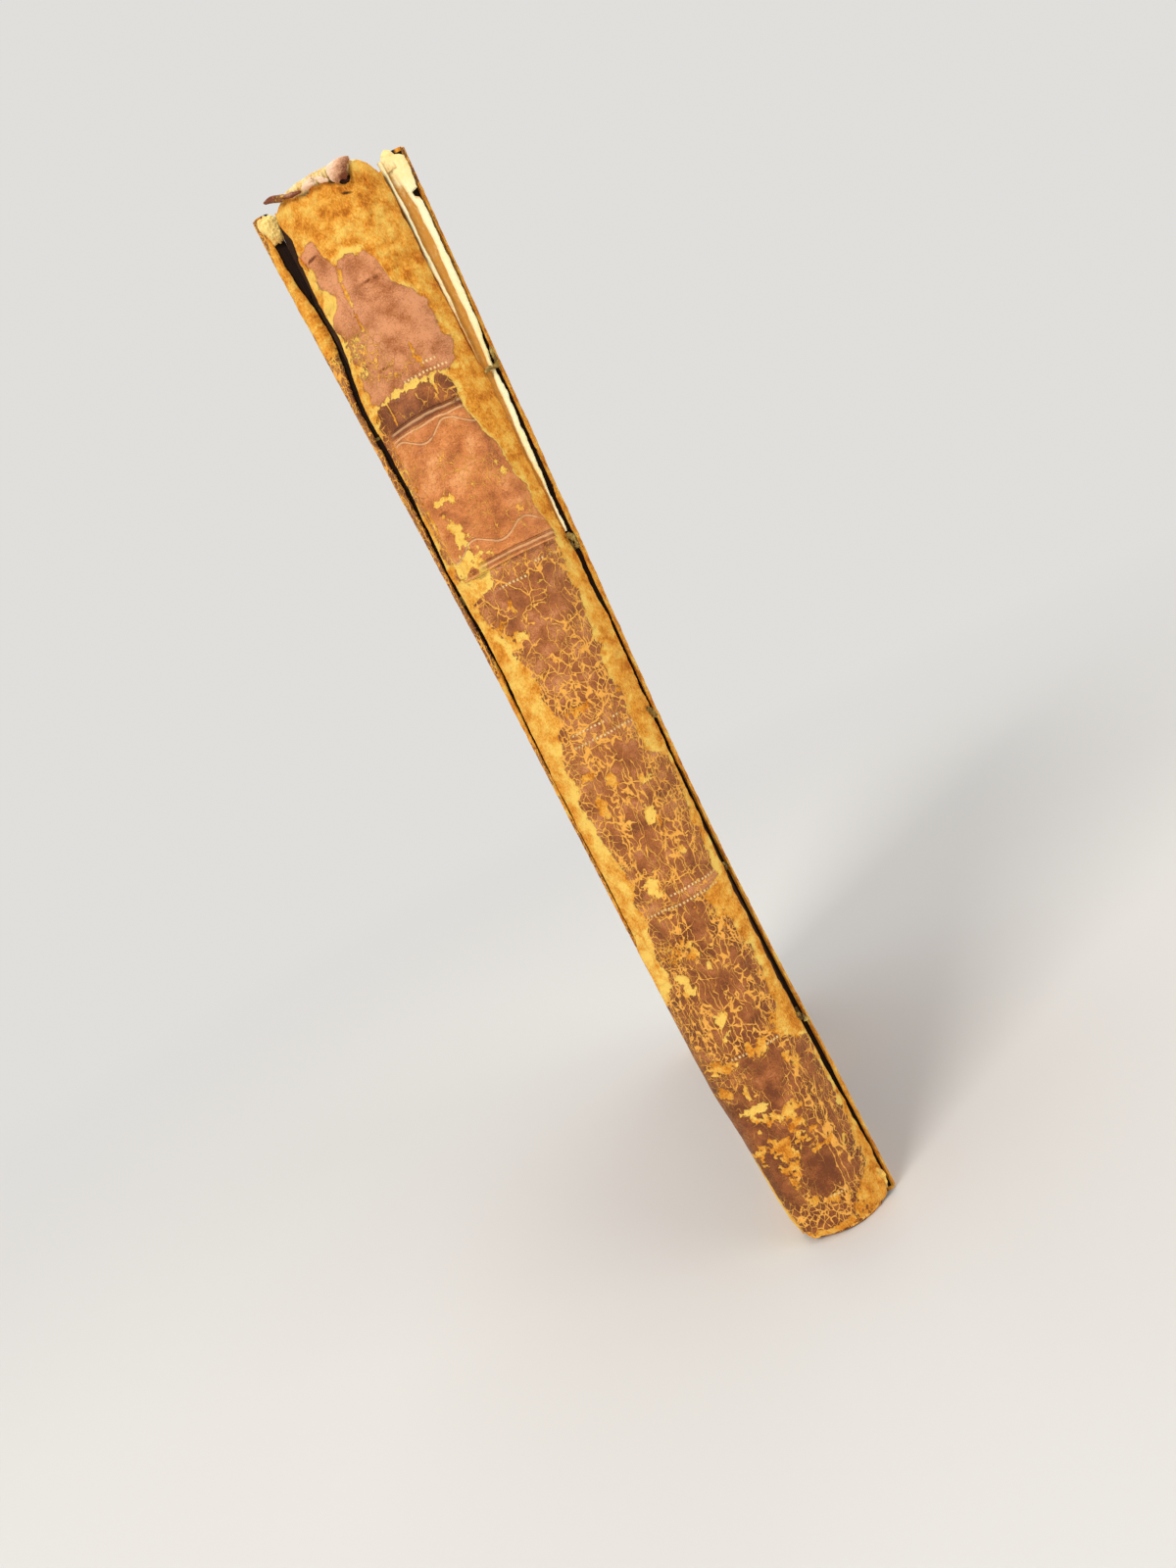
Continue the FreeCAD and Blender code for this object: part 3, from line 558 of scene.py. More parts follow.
@dataclass(frozen=True)
class LeatherFinish:
    """Old calf whose brown grain flakes off an orange, fibrous layer.

    The piece gives its own attributes: skin, millimetres along and up the surface;
    grain, 1 where the grain is whole; cracks, how open its wide, fine and long cracks
    are; rim, 1 where the bare layer is freshly torn and pale, and where it is lightened
    as a painted highlight; shade, which lightens or darkens the grain, partly with
    painted light and shade, and blackens holes, dents and gaps as painted shade.
    """

    name: str
    dark: tuple = (0.44, 0.225, 0.095)
    mid: tuple = (0.66, 0.38, 0.18)
    pale: tuple = (0.86, 0.58, 0.39)
    deep: tuple = (0.74, 0.41, 0.08)
    orange: tuple = (0.93, 0.61, 0.18)
    bright: tuple = (1.0, 0.83, 0.40)
    line: tuple = (1.0, 0.72, 0.33)
    gloss: float = 0.5
    rules: tuple = ()

    def tooling(self, graph: Graph, skin: Socket, tool: Tool) -> Optional[Socket]:
        """Where the finish's rules press into the leather.

        A rule covers the places less than 0.2 mm from its line, which a cosine may wave,
        and a dotted one only the crests of a 0.62 mm sine along it.

        Args:
            graph: The tree.
            skin: Millimetres along and up the surface.
            tool: Which rules are meant.

        Returns:
            A mask from 0 to 1, or None without such rules.
        """
        across, up, _ = graph.split(graph.warp(skin, 0.35, 0.5))
        dots = graph.rise(graph.math("SINE", graph.times(across, 2 * np.pi / 0.62)), -0.3, 0.3)
        total = None
        for rule in self.rules:
            if rule.tool is not tool:
                continue
            line = up
            if rule.wave:
                turn = graph.add_share(across, 2 * np.pi / rule.period, rule.shift)
                line = graph.add_share(graph.math("COSINE", turn), -rule.wave, up)
            away = graph.math("ABSOLUTE", graph.math("SUBTRACT", line, rule.height))
            mask = graph.rise(away, 0.26, 0.12)
            if tool is Tool.DOTTED:
                mask = graph.times(mask, dots)
            inside = graph.times(graph.rise(across, rule.left, rule.left + 0.8),
                                 graph.rise(across, rule.right, rule.right - 0.8))
            broken = graph.rise(graph.noise(skin, 0.5, 3.0), rule.gaps, rule.gaps + 0.1)
            here = graph.times(graph.times(mask, inside), broken)
            total = here if total is None else graph.math("MAXIMUM", total, here)
        return total

    def network(self, graph: Graph, skin: Socket) -> Socket:
        """The net of cracks in the grain.

        Three irregular cell patterns, wide, fine and long, are bent by noise. A crack is
        where the distance to a cell's border is less than a width that the cracks
        attribute and noise set.

        Args:
            graph: The tree.
            skin: Millimetres along and up the surface.

        Returns:
            A mask from 0 to 1.
        """
        bent = graph.warp(graph.warp(skin, 0.3, 1.9), 1.2, 0.28)
        pulse = graph.noise(skin, 0.75, 3.0, 0.6)
        opening = graph.rise(pulse, 0.3, 0.72, 0.25, 1.35)
        total = None
        strengths = graph.split(graph.vector("cracks"))
        kinds = (((0.44, 0.25, 1.0), 0.078), ((1.02, 0.78, 1.0), 0.105), ((0.72, 0.1, 1.0), 0.095))
        for strength, (scale, width) in zip(strengths, kinds):
            away = graph.cells(graph.stretch(bent, scale))
            reach = graph.times(graph.times(strength, opening), width)
            mask = graph.rise(away, graph.add_share(reach, 1.15, 0.012), graph.times(reach, 0.55))
            mask = graph.times(mask, graph.rise(strength, 0.03, 0.3))
            total = mask if total is None else graph.math("MAXIMUM", total, mask)
        return total

    def material(self) -> bpy.types.Material:
        """Builds the shader tree.

        Returns:
            The material.
        """
        graph = Graph(self.name)
        skin = graph.vector("skin")
        grain, rim, shade = graph.value("grain"), graph.value("rim"), graph.value("shade")
        fray = graph.noise(graph.stretch(skin, (1.0, 0.8, 1.0)), 1.5, 7.0, 0.7)
        whole = graph.rise(graph.sway(fray, 1.7, grain), 0.42, 0.58)
        lines = self.network(graph, skin)
        kept = graph.times(whole, graph.math("SUBTRACT", 1.0, lines))

        cloud = graph.noise(skin, 0.32, 5.0, 0.6)
        speck = graph.noise(skin, 4.5, 4.0, 0.7)
        tone = graph.sway(speck, 0.75, cloud)
        tone = graph.math("ADD", tone, shade)
        brown = graph.ramp(tone, ((0.28, self.dark), (0.52, self.mid), (0.78, self.pale)))
        pits = graph.rise(graph.noise(skin, 2.3, 2.0, 0.6), 0.54, 0.68)
        brown = graph.mix(graph.times(pits, graph.rise(shade, 0.2, -0.12, 0.32, 0.65)), brown, self.dark)
        fibre = graph.noise(graph.stretch(skin, (2.6, 1.5, 1.0)), 1.5, 6.0, 0.7)
        lump = graph.noise(skin, 0.42, 6.0, 0.62)
        raw = graph.sway(fibre, 0.8, lump)
        raw = graph.add_share(rim, 0.36, raw)
        tan = graph.ramp(raw, ((0.33, self.deep), (0.49, self.orange), (0.72, self.bright)))
        grime = graph.rise(graph.noise(graph.stretch(skin, (1.0, 0.7, 1.0)), 0.9, 6.0, 0.75), 0.58, 0.74)
        tan = graph.mix(graph.times(grime, 0.34), tan, (0.56, 0.31, 0.09))
        # Thin dark lines in the bare layer, painted shade in its creases.
        drift = graph.noise(graph.warp(skin, 0.4, 1.5), 0.45, 3.0, 0.6)
        fold = graph.math("ABSOLUTE", graph.math("SUBTRACT", drift, 0.5))
        crease_shade = graph.times(graph.rise(fold, 0.012, 0.002), graph.rise(fibre, 0.42, 0.6))
        tan = graph.mix(graph.times(crease_shade, 0.5), tan, (0.55, 0.29, 0.07))
        tan = graph.mix(graph.times(graph.times(lines, whole), 0.85), tan, self.line)
        colour = graph.mix(kept, tan, brown)

        height = graph.times(kept, 0.12)
        coarse = graph.add_share(lump, 0.30, graph.times(fibre, 0.28))
        height = graph.add_share(graph.math("SUBTRACT", 1.0, kept), coarse, height)
        height = graph.add_share(speck, 0.05, height)
        # Tooled lines: gold dots; pressed lines darkened partly as painted shade in their grooves; the pale lines are
        # a painted highlight along the tooled edge.
        for tool, depth, share, tone in (
            (Tool.DOTTED, -0.12, 0.85, (1.0, 0.86, 0.60)), (Tool.PRESSED, -0.22, 0.42, (0.40, 0.20, 0.08)),
            (Tool.HIGHLIT, -0.24, 0.45, (0.98, 0.78, 0.56)),
        ):
            mask = self.tooling(graph, skin, tool)
            if mask is not None:
                height = graph.add_share(mask, depth, height)
                colour = graph.mix(graph.times(mask, share), colour, tone)
        # Painted shade: where the shade attribute is strongly negative, holes, dents and gaps turn near-black.
        hole_shade = graph.rise(shade, -0.45, -0.85)
        colour = graph.mix(hole_shade, colour, (0.13, 0.06, 0.02))
        rough = graph.rise(kept, 0.0, 1.0, 0.88, self.gloss)
        rough = graph.sway(speck, 0.25, rough, clamp=True)
        return graph.finish(colour, rough, graph.bump(height, 0.001, 0.9), 0.28)


@dataclass(frozen=True)
class PaperFinish:
    """Toned rag paper, with the edges of its leaves where they are stacked.

    leaf_axis is 0, 1 or 2 for leaves stacked along x, y or z, and None for a plain sheet.
    Before a given local y the paper turns near-black brown: glue, and painted shade
    where the paper lies in the joint gap. A toned sheet gives an attribute, warm, that
    browns it.
    """

    name: str
    light: tuple = (0.93, 0.87, 0.68)
    warm: tuple = (0.86, 0.74, 0.49)
    stain: tuple = (0.62, 0.43, 0.20)
    leaf_axis: Optional[int] = None
    stained: float = 0.25
    # Local y before which the paper is near-black brown: glue, and painted shade in the joint gap.
    glue_and_shade_before: Optional[float] = None
    toned: bool = False

    def material(self) -> bpy.types.Material:
        """Builds the shader tree.

        Returns:
            The material.
        """
        graph = Graph(self.name)
        here = graph.millimetres()
        cloud = graph.noise(here, 0.06, 5.0, 0.6)
        fleck = graph.noise(here, 1.8, 4.0, 0.6)
        tone = graph.sway(fleck, 0.5, cloud)
        colour = graph.ramp(tone, ((0.34, self.warm), (0.6, self.light)))
        fox = graph.rise(graph.noise(graph.warp(here, 0.5, 1.6), 0.35, 4.0, 0.5), 0.66, 0.75)
        colour = graph.mix(graph.times(fox, self.stained), colour, self.stain)
        height = graph.times(graph.noise(here, 3.2, 5.0, 0.6), 0.06)
        if self.leaf_axis is not None:
            scale = [0.05, 0.05, 0.05]
            scale[self.leaf_axis] = 9.0
            leaves = graph.noise(graph.stretch(here, tuple(scale)), 1.0, 3.0, 0.6)
            scale[self.leaf_axis] = 1.5
            sections = graph.noise(graph.stretch(here, tuple(scale)), 1.0, 2.0, 0.5)
            shade = graph.add_share(sections, 0.5, graph.times(leaves, 0.6))
            dust = graph.rise(shade, 0.62, 0.42)
            colour = graph.mix(graph.times(dust, 0.75), colour, (0.52, 0.39, 0.22))
            height = graph.add_share(leaves, 0.16, height)
        if self.toned:
            fleck = graph.noise(graph.stretch(here, (1.6, 1.6, 0.7)), 1.6, 5.0, 0.7)
            warm = graph.sway(fleck, 1.2, graph.value("warm"))
            colour = graph.mix(graph.rise(warm, 0.15, 1.0), colour, self.stain)
            height = graph.add_share(fleck, 0.14, height)
        # Near-black brown before the given y: glue, and painted shade of the joint gap.
        if self.glue_and_shade_before is not None:
            _, depth, _ = graph.split(here)
            line = self.glue_and_shade_before + BOOK.centre_y
            colour = graph.mix(graph.rise(depth, line + 0.5, line - 0.3), colour, (0.20, 0.11, 0.045))
        return graph.finish(colour, 0.88, graph.bump(height, 0.001, 0.8), 0.25, through=0.04)


@dataclass(frozen=True)
class BoardFinish:
    """Pasteboard made of many thin brown sheets, seen at its rubbed edge."""

    name: str
    dark: tuple = (0.28, 0.17, 0.09)
    mid: tuple = (0.47, 0.30, 0.15)
    light: tuple = (0.66, 0.47, 0.25)
    # Local y before which the board is black-brown: painted shade of the joint gap on its spine edge.
    shade_before: float = -4.9

    def material(self) -> bpy.types.Material:
        """Builds the shader tree; the board is black-brown before the given local y, as painted shade where its spine
        edge lies in the joint gap.

        Returns:
            The material.
        """
        graph = Graph(self.name)
        here = graph.millimetres()
        sheets = graph.noise(graph.stretch(graph.warp(here, 0.2, 0.6), (6.0, 0.25, 0.12)), 1.0, 4.0, 0.65)
        pulp = graph.noise(here, 2.4, 5.0, 0.65)
        tone = graph.sway(pulp, 0.8, sheets)
        colour = graph.ramp(tone, ((0.3, self.dark), (0.52, self.mid), (0.74, self.light)))
        # Painted shade: black-brown where the board's spine edge lies in the joint gap.
        _, depth, _ = graph.split(here)
        line = self.shade_before + BOOK.centre_y
        colour = graph.mix(graph.rise(depth, line + 0.4, line - 0.2), colour, (0.14, 0.075, 0.035))
        height = graph.add_share(sheets, 0.2, graph.times(pulp, 0.12))
        return graph.finish(colour, 0.9, graph.bump(height, 0.001, 0.8), 0.2)


@dataclass(frozen=True)
class CordFinish:
    """Twisted hemp or sewing thread, dusty and stained by paste."""

    name: str
    light: tuple = (0.80, 0.70, 0.44)
    mid: tuple = (0.58, 0.47, 0.25)
    dark: tuple = (0.30, 0.23, 0.11)

    def material(self) -> bpy.types.Material:
        """Builds the shader tree.

        Returns:
            The material.
        """
        graph = Graph(self.name)
        here = graph.millimetres()
        hair = graph.noise(graph.stretch(here, (1.0, 1.0, 2.0)), 3.6, 5.0, 0.7)
        cloud = graph.noise(here, 0.8, 3.0)
        tone = graph.sway(hair, 0.8, cloud)
        stops = ((0.28, self.dark), (0.5, self.mid), (0.76, self.light))
        colour = graph.ramp(tone, stops)
        return graph.finish(colour, 0.92, graph.bump(hair, 0.0002, 0.9), 0.2, sheen=0.1)


def dress(piece: bpy.types.Object, material: bpy.types.Material, part: Part, slot: Slot, *nodes: str) -> None:
    """Gives a piece its material and body, and hides the CAD nodes that it stands for.

    Args:
        piece: The piece.
        material: Its material.
        part: The body that it rides on.
        slot: Not used.
        *nodes: CAD nodes that it replaces.
    """
    piece.data.materials.clear()
    piece.data.materials.append(material)
    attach(piece, part.value)
    if nodes:
        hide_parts(*nodes)
    LOG.info("%s: %d faces", piece.name, len(piece.data.polygons))


def dress_node(name: str, material: bpy.types.Material) -> None:
    """Gives a CAD node that stays shown its material."""
    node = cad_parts[name]
    node.data.materials.clear()
    node.data.materials.append(material)


@dataclass(frozen=True)
class Patch:
    """A place where the grain has flaked off.

    Its centre and half sizes, how pale the bare layer is and how much of the grain is gone.
    """

    x: float
    z: float
    half_x: float
    half_z: float
    pale: float = 0.0
    depth: float = 1.0


def patch_cover(patches: tuple, x: Array, z: Array, seed: int) -> tuple:
    """How far flaked patches reach at these places.

    Each patch is an ellipse whose edge two sizes of noise move in and out; the deepest
    patch counts.

    Args:
        patches: The patches.
        x: Millimetres across.
        z: Millimetres up.
        seed: Seed of the edges.

    Returns:
        A cover from 0 to 1, and the paleness of what lies bare.
    """
    wobble = 0.8 * rough_noise(x, z, 1.4, seed) + 0.85 * rough_noise(x, z, 0.5, seed + 3)
    cover, pale = np.zeros_like(x), np.zeros_like(x)
    for spot in patches:
        away = np.hypot((x - spot.x) / spot.half_x, (z - spot.z) / spot.half_z) + wobble
        here = smoothstep(1.35, 0.75, away)
        pale = np.maximum(pale, here * (1.3 * spot.pale - 0.45))
        cover = np.maximum(cover, here * spot.depth)
    return cover, pale


def zone_sum(zones: tuple, x: Array, z: Array) -> Array:
    """Sum of soft spots, each given as centre x and z, half sizes and strength.

    Args:
        zones: The spots.
        x: Millimetres across.
        z: Millimetres up.

    Returns:
        The sum at these places.
    """
    total = np.zeros_like(x)
    for cx, cz, hx, hz, strength in zones:
        total = total + strength * np.exp(-(((x - cx) / hx) ** 2) - ((z - cz) / hz) ** 2)
    return total


@dataclass
class Spine:
    """The leather of the spine with its torn head, its tail cap and its label."""

    cols: int = 90
    rows: int = 530
    thickness: float = 0.8
    left_edge: tuple = (
        (0, -3.4), (0.7, -5.3), (2.3, -6.3), (4.6, -6.9), (9, -7.4), (14, -7.7), (20, -8), (26, -8.6), (30, -9),
        (40, -9.2), (60, -9.2), (80, -9.25), (92, -9.2), (98, -8.95), (104, -8.65), (110, -8.75), (116, -9.05),
        (122, -9.3), (128, -9.1), (134, -8.9), (140, -9), (146, -9.4), (149, -9.2), (152, -8.85), (155, -8.3),
        (158, -7.9), (161, -8.2), (164, -8.35), (167, -8.2), (170, -8), (173, -7.6), (176, -8.2), (180, -8),
    )
    right_edge: tuple = (
        (0, 8.6), (2, 9.2), (6, 9.55), (8, 9.6), (14, 9.3), (20, 9.05), (26, 8.85), (32, 8.65), (38, 8.3), (44, 8.25),
        (50, 8.15), (56, 8.15), (62, 8.25), (68, 8.3), (74, 8.65), (80, 8.75), (86, 8.95), (92, 9.15), (98, 9.35),
        (104, 9.45), (110, 9.45), (116, 9.4), (122, 9.2), (131, 9.05), (140, 9.2), (146, 9), (150, 8.9), (156, 8.7),
        (160, 8.6), (173.5, 8.6), (180, 8.2),
    )
    top_edge: tuple = (
        (-8.2, 177.4), (-7.4, 178), (-6.4, 178), (-4.6, 177.2), (-3.1, 177), (-1, 177.2), (0.8, 176.9), (1.6, 176.3),
        (3, 175.8), (4, 176.6), (4.7, 178), (6.2, 178.5), (7.2, 178), (8.2, 176.4),
    )
    tail_edge: tuple = (
        (-7.5, 1.1), (-6, 0.9), (-4.5, 0.65), (-2.5, 0.3), (0, 0.08), (2, 0), (6, 0), (8, 0.4), (9, 0.9),
    )
    grain_left: tuple = (
        (0, -6), (5, -6.4), (8, -8.5), (10, -12), (42, -12), (46, -8.5), (49, -7.1), (52, -7.4), (57, -6.8),
        (63, -6.6), (65, -5.6), (67, -6.1), (69, -5.6), (71, -6.6), (77, -6.6), (80, -7.3), (84, -6.6), (86, -6.8),
        (88.5, -6.2), (90, -5.3), (95, -4.9), (98, -5.2), (102, -5.1), (104, -5.6), (108, -6.5), (111, -7.1),
        (113.5, -7.4), (115, -7.6), (116, -3.6), (118.5, -3), (119, -8.6), (141, -8.8), (146, -8.6), (147, -8.2),
        (153, -7.8), (157, -7.9), (160.6, -7.5), (161.8, -6), (163.4, -6), (165, -7.2), (171, -7.5),
    )
    grain_right: tuple = (
        (0, 7.5), (5.5, 6), (8, 7.6), (13, 8), (22, 8.5), (31, 8.3), (33, 5.2), (38, 5.7), (44, 6.4), (50, 6.4),
        (54, 5.9), (56.5, 4.9), (59.5, 3.6), (61, 7.1), (66, 7.4), (69.5, 7.5), (71, 6.9), (75, 8.1), (80.5, 8.3),
        (83, 6.4), (86, 5.7), (92, 6), (94, 5.9), (96, 5.2), (99.5, 5.9), (100.8, 6.9), (101.6, 6.4), (106, 5.9),
        (108, 6.6), (112, 7), (118.3, 7.5), (119, 7.4), (121, 7), (124.5, 6.3), (127, 6.8), (131, 5.8), (135, 5.3),
        (139, 4), (141, 3.4), (142.5, 4), (144, 3.7), (146.3, 3.4), (146.7, 4.8), (148, 5.7), (150, 6.6), (156, 6.6),
        (175, 7),
    )
    grain_top: tuple = (
        (-7.4, 170.3), (-5.1, 170.8), (-4.7, 168.5), (-3.6, 166.3), (-3, 166.9), (-1.6, 166.9), (-0.1, 166.3),
        (0.9, 166.4), (2, 165), (2.25, 163), (2.6, 161.4), (3.6, 160.5), (4.6, 159.2), (5.2, 158), (6.2, 157.3),
        (6.6, 155.8), (8, 149),
    )
    flaked: tuple = (
        Patch(-3.1, 40.6, 0.95, 1.45, 1), Patch(-3.7, 37.2, 0.35, 0.4, 0.8), Patch(0, 34.2, 1.4, 1.2, 0.4, 0.9),
        Patch(6.2, 35.2, 2.4, 2.2, 0.4, 0.9), Patch(-6.6, 33, 2.2, 1, 0.4, 0.8),
        Patch(-7.5, 28.6, 1.2, 0.9, 0.2, 0.7), Patch(3.6, 30.4, 0.6, 0.9, 0.4, 0.8),
        Patch(4.7, 28.8, 0.5, 0.9, 0.5, 0.9), Patch(-4.6, 27.6, 0.35, 1, 0.6, 0.9), Patch(-4.3, 24.6, 1.7, 0.75, 1),
        Patch(-5.7, 24.9, 0.6, 0.45, 1), Patch(-2.6, 22.6, 2.8, 1.2, 0.4, 0.9), Patch(0.9, 22.6, 1.1, 0.8, 0.5, 0.9),
        Patch(0.6, 20.3, 1.2, 0.5, 0.4, 0.85), Patch(-3, 17.2, 3.2, 1.9, 0.3, 0.78),
        Patch(-3.6, 13.6, 1.4, 1.5, 0.3, 0.78), Patch(-3.8, 10.6, 0.6, 1.2, 0.2, 0.6),
        Patch(1.1, 16.8, 0.9, 0.35, 0.5), Patch(3, 18.2, 1.4, 0.45, 0.4, 0.8), Patch(2.7, 15, 1.4, 0.5, 0.4, 0.9),
        Patch(6.2, 13.4, 0.45, 0.9, 0.8), Patch(8.3, 18.6, 0.35, 0.8, 0.9), Patch(-2.6, 7.4, 0.9, 0.8, 0.4, 0.8),
        Patch(0.4, 6, 0.8, 0.7, 0.4, 0.8), Patch(5.9, 3, 3.2, 2.2, 0.35), Patch(-0.2, 1.2, 6.5, 0.8, 0.2, 0.8),
        Patch(-5.2, 48.9, 0.75, 0.75, 1), Patch(-5.4, 46.4, 0.9, 0.7, 0.7), Patch(-0.7, 49.2, 0.5, 0.7, 0.6, 0.8),
        Patch(-2, 52.6, 0.85, 1.2, 0.4), Patch(-4.6, 53.4, 2.4, 1.6, 0.25, 0.5), Patch(5.9, 57, 2.4, 2.2, 0.4),
        Patch(-3.2, 64.6, 1.6, 1.5, 0.75, 0.8), Patch(-4.6, 84, 0.9, 0.8, 0.35, 0.9),
        Patch(-4.5, 79, 0.65, 1.6, 0.3, 0.9), Patch(-1, 82.4, 1.1, 1.1, 0.3, 0.75), Patch(2.5, 79.9, 1.3, 0.65, 0.65),
        Patch(1.4, 74.7, 0.75, 1.1, 0.9), Patch(2.4, 72.4, 0.4, 1.1, 0.3, 0.8), Patch(3.6, 67.5, 0.5, 0.6, 0.4, 0.8),
        Patch(6.6, 84.6, 1.2, 1.4, 0.4, 0.55), Patch(-0.2, 93.8, 3.4, 0.7, 0.25, 0.7),
        Patch(-4, 100.5, 1.5, 0.8, 0.3, 0.55), Patch(-5.6, 107.5, 1.3, 1.1, 0.5, 0.75),
        Patch(-3.5, 107.3, 0.9, 0.5, 0.7, 0.8), Patch(-6.4, 110, 1.2, 1, 0.3, 0.7), Patch(-1.8, 146.8, 6.8, 0.5, 1),
        Patch(-6, 144.9, 0.13, 1.5, 0.6, 0.9), Patch(-1.6, 145.4, 0.16, 0.9, 0.8, 0.9),
        Patch(1.4, 145.5, 0.12, 0.8, 0.6, 0.85), Patch(0.8, 151.2, 0.3, 1.3, 0.4, 0.75),
        Patch(0.2, 150.2, 0.6, 0.25, 0.4, 0.8), Patch(1.2, 149.2, 0.25, 0.8, 0.4, 0.7),
        Patch(-2.6, 148.9, 0.7, 0.5, 0.4, 0.6), Patch(-3.6, 165, 0.3, 0.8, 0.4, 0.9),
        Patch(-4.1, 161.6, 0.25, 1.5, 0.5, 0.8), Patch(-4.2, 158.4, 0.25, 1.5, 0.4, 0.7),
        Patch(-6.3, 155.6, 1.6, 1.3, 0.7, 0.5), Patch(-6.8, 152.4, 1.3, 0.9, 0.7, 0.5),
        Patch(-6.6, 162.6, 0.9, 0.9, 1), Patch(-3, 111.9, 0.3, 0.9, 0.3, 0.7), Patch(2.2, 113.4, 0.9, 0.25, 0.5, 0.8),
    )
    wide: tuple = (
        (0, 108, 9, 9, 0.95), (0, 92, 8, 9, 0.6), (-1, 78, 9, 11, 0.75), (0, 60, 9, 9, 0.5), (0, 42, 11, 10, 0.6),
        (0, 22, 11, 12, 0.35), (-5, 153, 3, 4, 0.55), (0, 144.5, 9, 2, 0.3), (0, 4, 9, 4, 0.5),
    )
    fine: tuple = (
        (-0.5, 97, 6, 6.5, 1), (2, 103.5, 3.4, 2.4, 0.5), (-6, 84, 2.4, 8, 0.35), (0, 84, 5, 4, 0.2),
        (-5, 53, 3, 5, 0.6), (4, 52, 2.4, 7, 0.2), (-7, 38, 3, 8, 0.35), (4.6, 38, 2, 5, 0.3), (-6, 31, 3, 2.5, 0.45),
        (4.6, 24, 1.6, 9, 0.45), (-2, 4.5, 7, 2.6, 1), (-5.4, 154, 2.6, 3.6, 0.8), (-0.5, 149.5, 3, 1.6, 0.4),
        (0, 64.5, 6, 1.8, 0.4), (5.4, 77, 2.4, 5, 0.5), (-3, 68, 2, 5, 0.3), (2.5, 116.5, 4, 1.4, 0.5),
        (-3.2, 11, 2.2, 4, 0.5), (0.6, 74, 1.8, 2.4, 0.4),
    )
    long: tuple = (
        (3.6, 76, 3.6, 12, 0.9), (3.6, 52, 3, 10, 0.9), (4.2, 24, 2.4, 14, 1.1), (-3, 76, 2.6, 11, 0.5),
        (-5.6, 42, 3.4, 8, 0.9), (0, 40, 4, 6, 0.45), (-4, 30, 2.6, 4, 0.5), (4.6, 108, 2, 6, 0.55),
        (-0.6, 76, 2.4, 8, 0.45), (-0.4, 53, 2.6, 7, 0.5), (-3.4, 64, 2.4, 6, 0.4), (0.4, 88, 3, 3, 0.4),
        (3.4, 10, 3, 5, 0.9), (-2.6, 10, 2, 4, 0.5), (0.5, 64, 3, 4, 0.3), (-4, 57, 2, 4, 0.4),
    )
    sound: tuple = (
        (0.8, 56.4, 1.7, 2.8), (0.6, 46.6, 2.1, 2.4), (0.2, 29.2, 1.7, 2.9), (0.9, 11.2, 2.3, 3.4), (7, 27, 1, 4),
        (-6.4, 11.6, 1.1, 3.2), (-7.6, 23.2, 1.2, 2.8), (-0.2, 72, 1.2, 4.6), (3.2, 110.6, 2.3, 2.6),
        (-2.7, 110, 1.5, 1.1), (-2.8, 81, 1.1, 1.5), (3, 84.8, 1.5, 1.8), (2.6, 31.2, 1.2, 2), (-4.6, 105, 0.9, 1.5),
        (-0.8, 104.4, 0.9, 1.9), (-2.8, 33, 1.1, 1.2), (7, 10, 1, 2.8), (0.9, 19, 1, 1), (-2.6, 68.6, 1.2, 1.6),
        (2, 39.4, 1.5, 1.6), (-5.1, 57.4, 1.1, 1.9), (7.2, 78.2, 0.8, 2.2), (6.4, 65.4, 0.9, 2),
        (-2.6, 113, 1.3, 0.8), (4.8, 46, 0.9, 2),
    )
    # Tone by height: bands of the leather, over a rise from dark at the tail to light at the head that is painted
    # light falling from above.
    tones_and_top_light: tuple = (
        (0, -0.14), (12, -0.12), (24, -0.1), (40, -0.07), (60, -0.03), (80, 0), (100, 0.04), (117, 0), (118, 0.1),
        (141, 0.1), (142.4, -0.12), (146.3, -0.08), (146.8, 0.18), (156, 0.2), (163, 0.15), (175, 0.16),
    )
    # Soft spots of tone: stains and lighter patches, partly painted light at the upper right, and strong dark spots
    # that are painted shade in holes, creases and along raised edges.
    stains_light_and_shade: tuple = (
        (2.2, 174.6, 1.2, 0.45, -0.95), (3.2, 174.2, 0.7, 0.35, -0.6), (-8.4, 172, 0.6, 1.4, -0.5),
        (5.4, 171.8, 0.9, 1, -0.42), (6.4, 170.6, 0.8, 0.7, -0.42), (-3.6, 172.2, 0.8, 0.16, -0.55),
        (4.9, 165.2, 0.6, 0.22, -0.6), (3, 162.7, 0.7, 0.2, -0.5), (5.7, 175.6, 0.16, 1.6, -0.5),
        (-6.4, 169, 1.1, 0.12, -0.7), (-0.2, 162.3, 1.6, 0.12, -0.5), (-6.4, 152.3, 1.3, 0.12, -0.5),
        (-4, 150.6, 1, 0.12, -0.5), (-7.6, 114.9, 0.9, 0.14, -0.7), (-6.4, 113.9, 0.6, 0.14, -0.6),
        (-5.6, 118.4, 0.5, 0.3, -0.6), (5, 155, 2.6, 3.6, 0.1), (-6, 164, 1.6, 4, 0.1), (5.6, 145.2, 1.8, 0.6, -0.35),
        (-0.8, 61.2, 8.5, 0.9, 0.22), (0.6, 46.6, 2.2, 2.4, -0.06), (0.9, 11.2, 2.3, 3.4, -0.08),
        (7.6, 98.6, 0.9, 0.2, -0.6), (8.4, 132.4, 0.6, 0.3, -0.5),
    )
    label_left: tuple = ((118.3, -7.9), (124, -8), (133, -8), (141.3, -8.1))
    label_right: tuple = (
        (118.3, 8.05), (119, 8), (121, 7.6), (122.5, 7.3), (124.5, 6.9), (126, 7.5), (127, 7.4), (129, 6.7),
        (131, 6.4), (133, 6.3), (135, 5.9), (137, 5.2), (139, 4.6), (141.3, 3.8),
    )
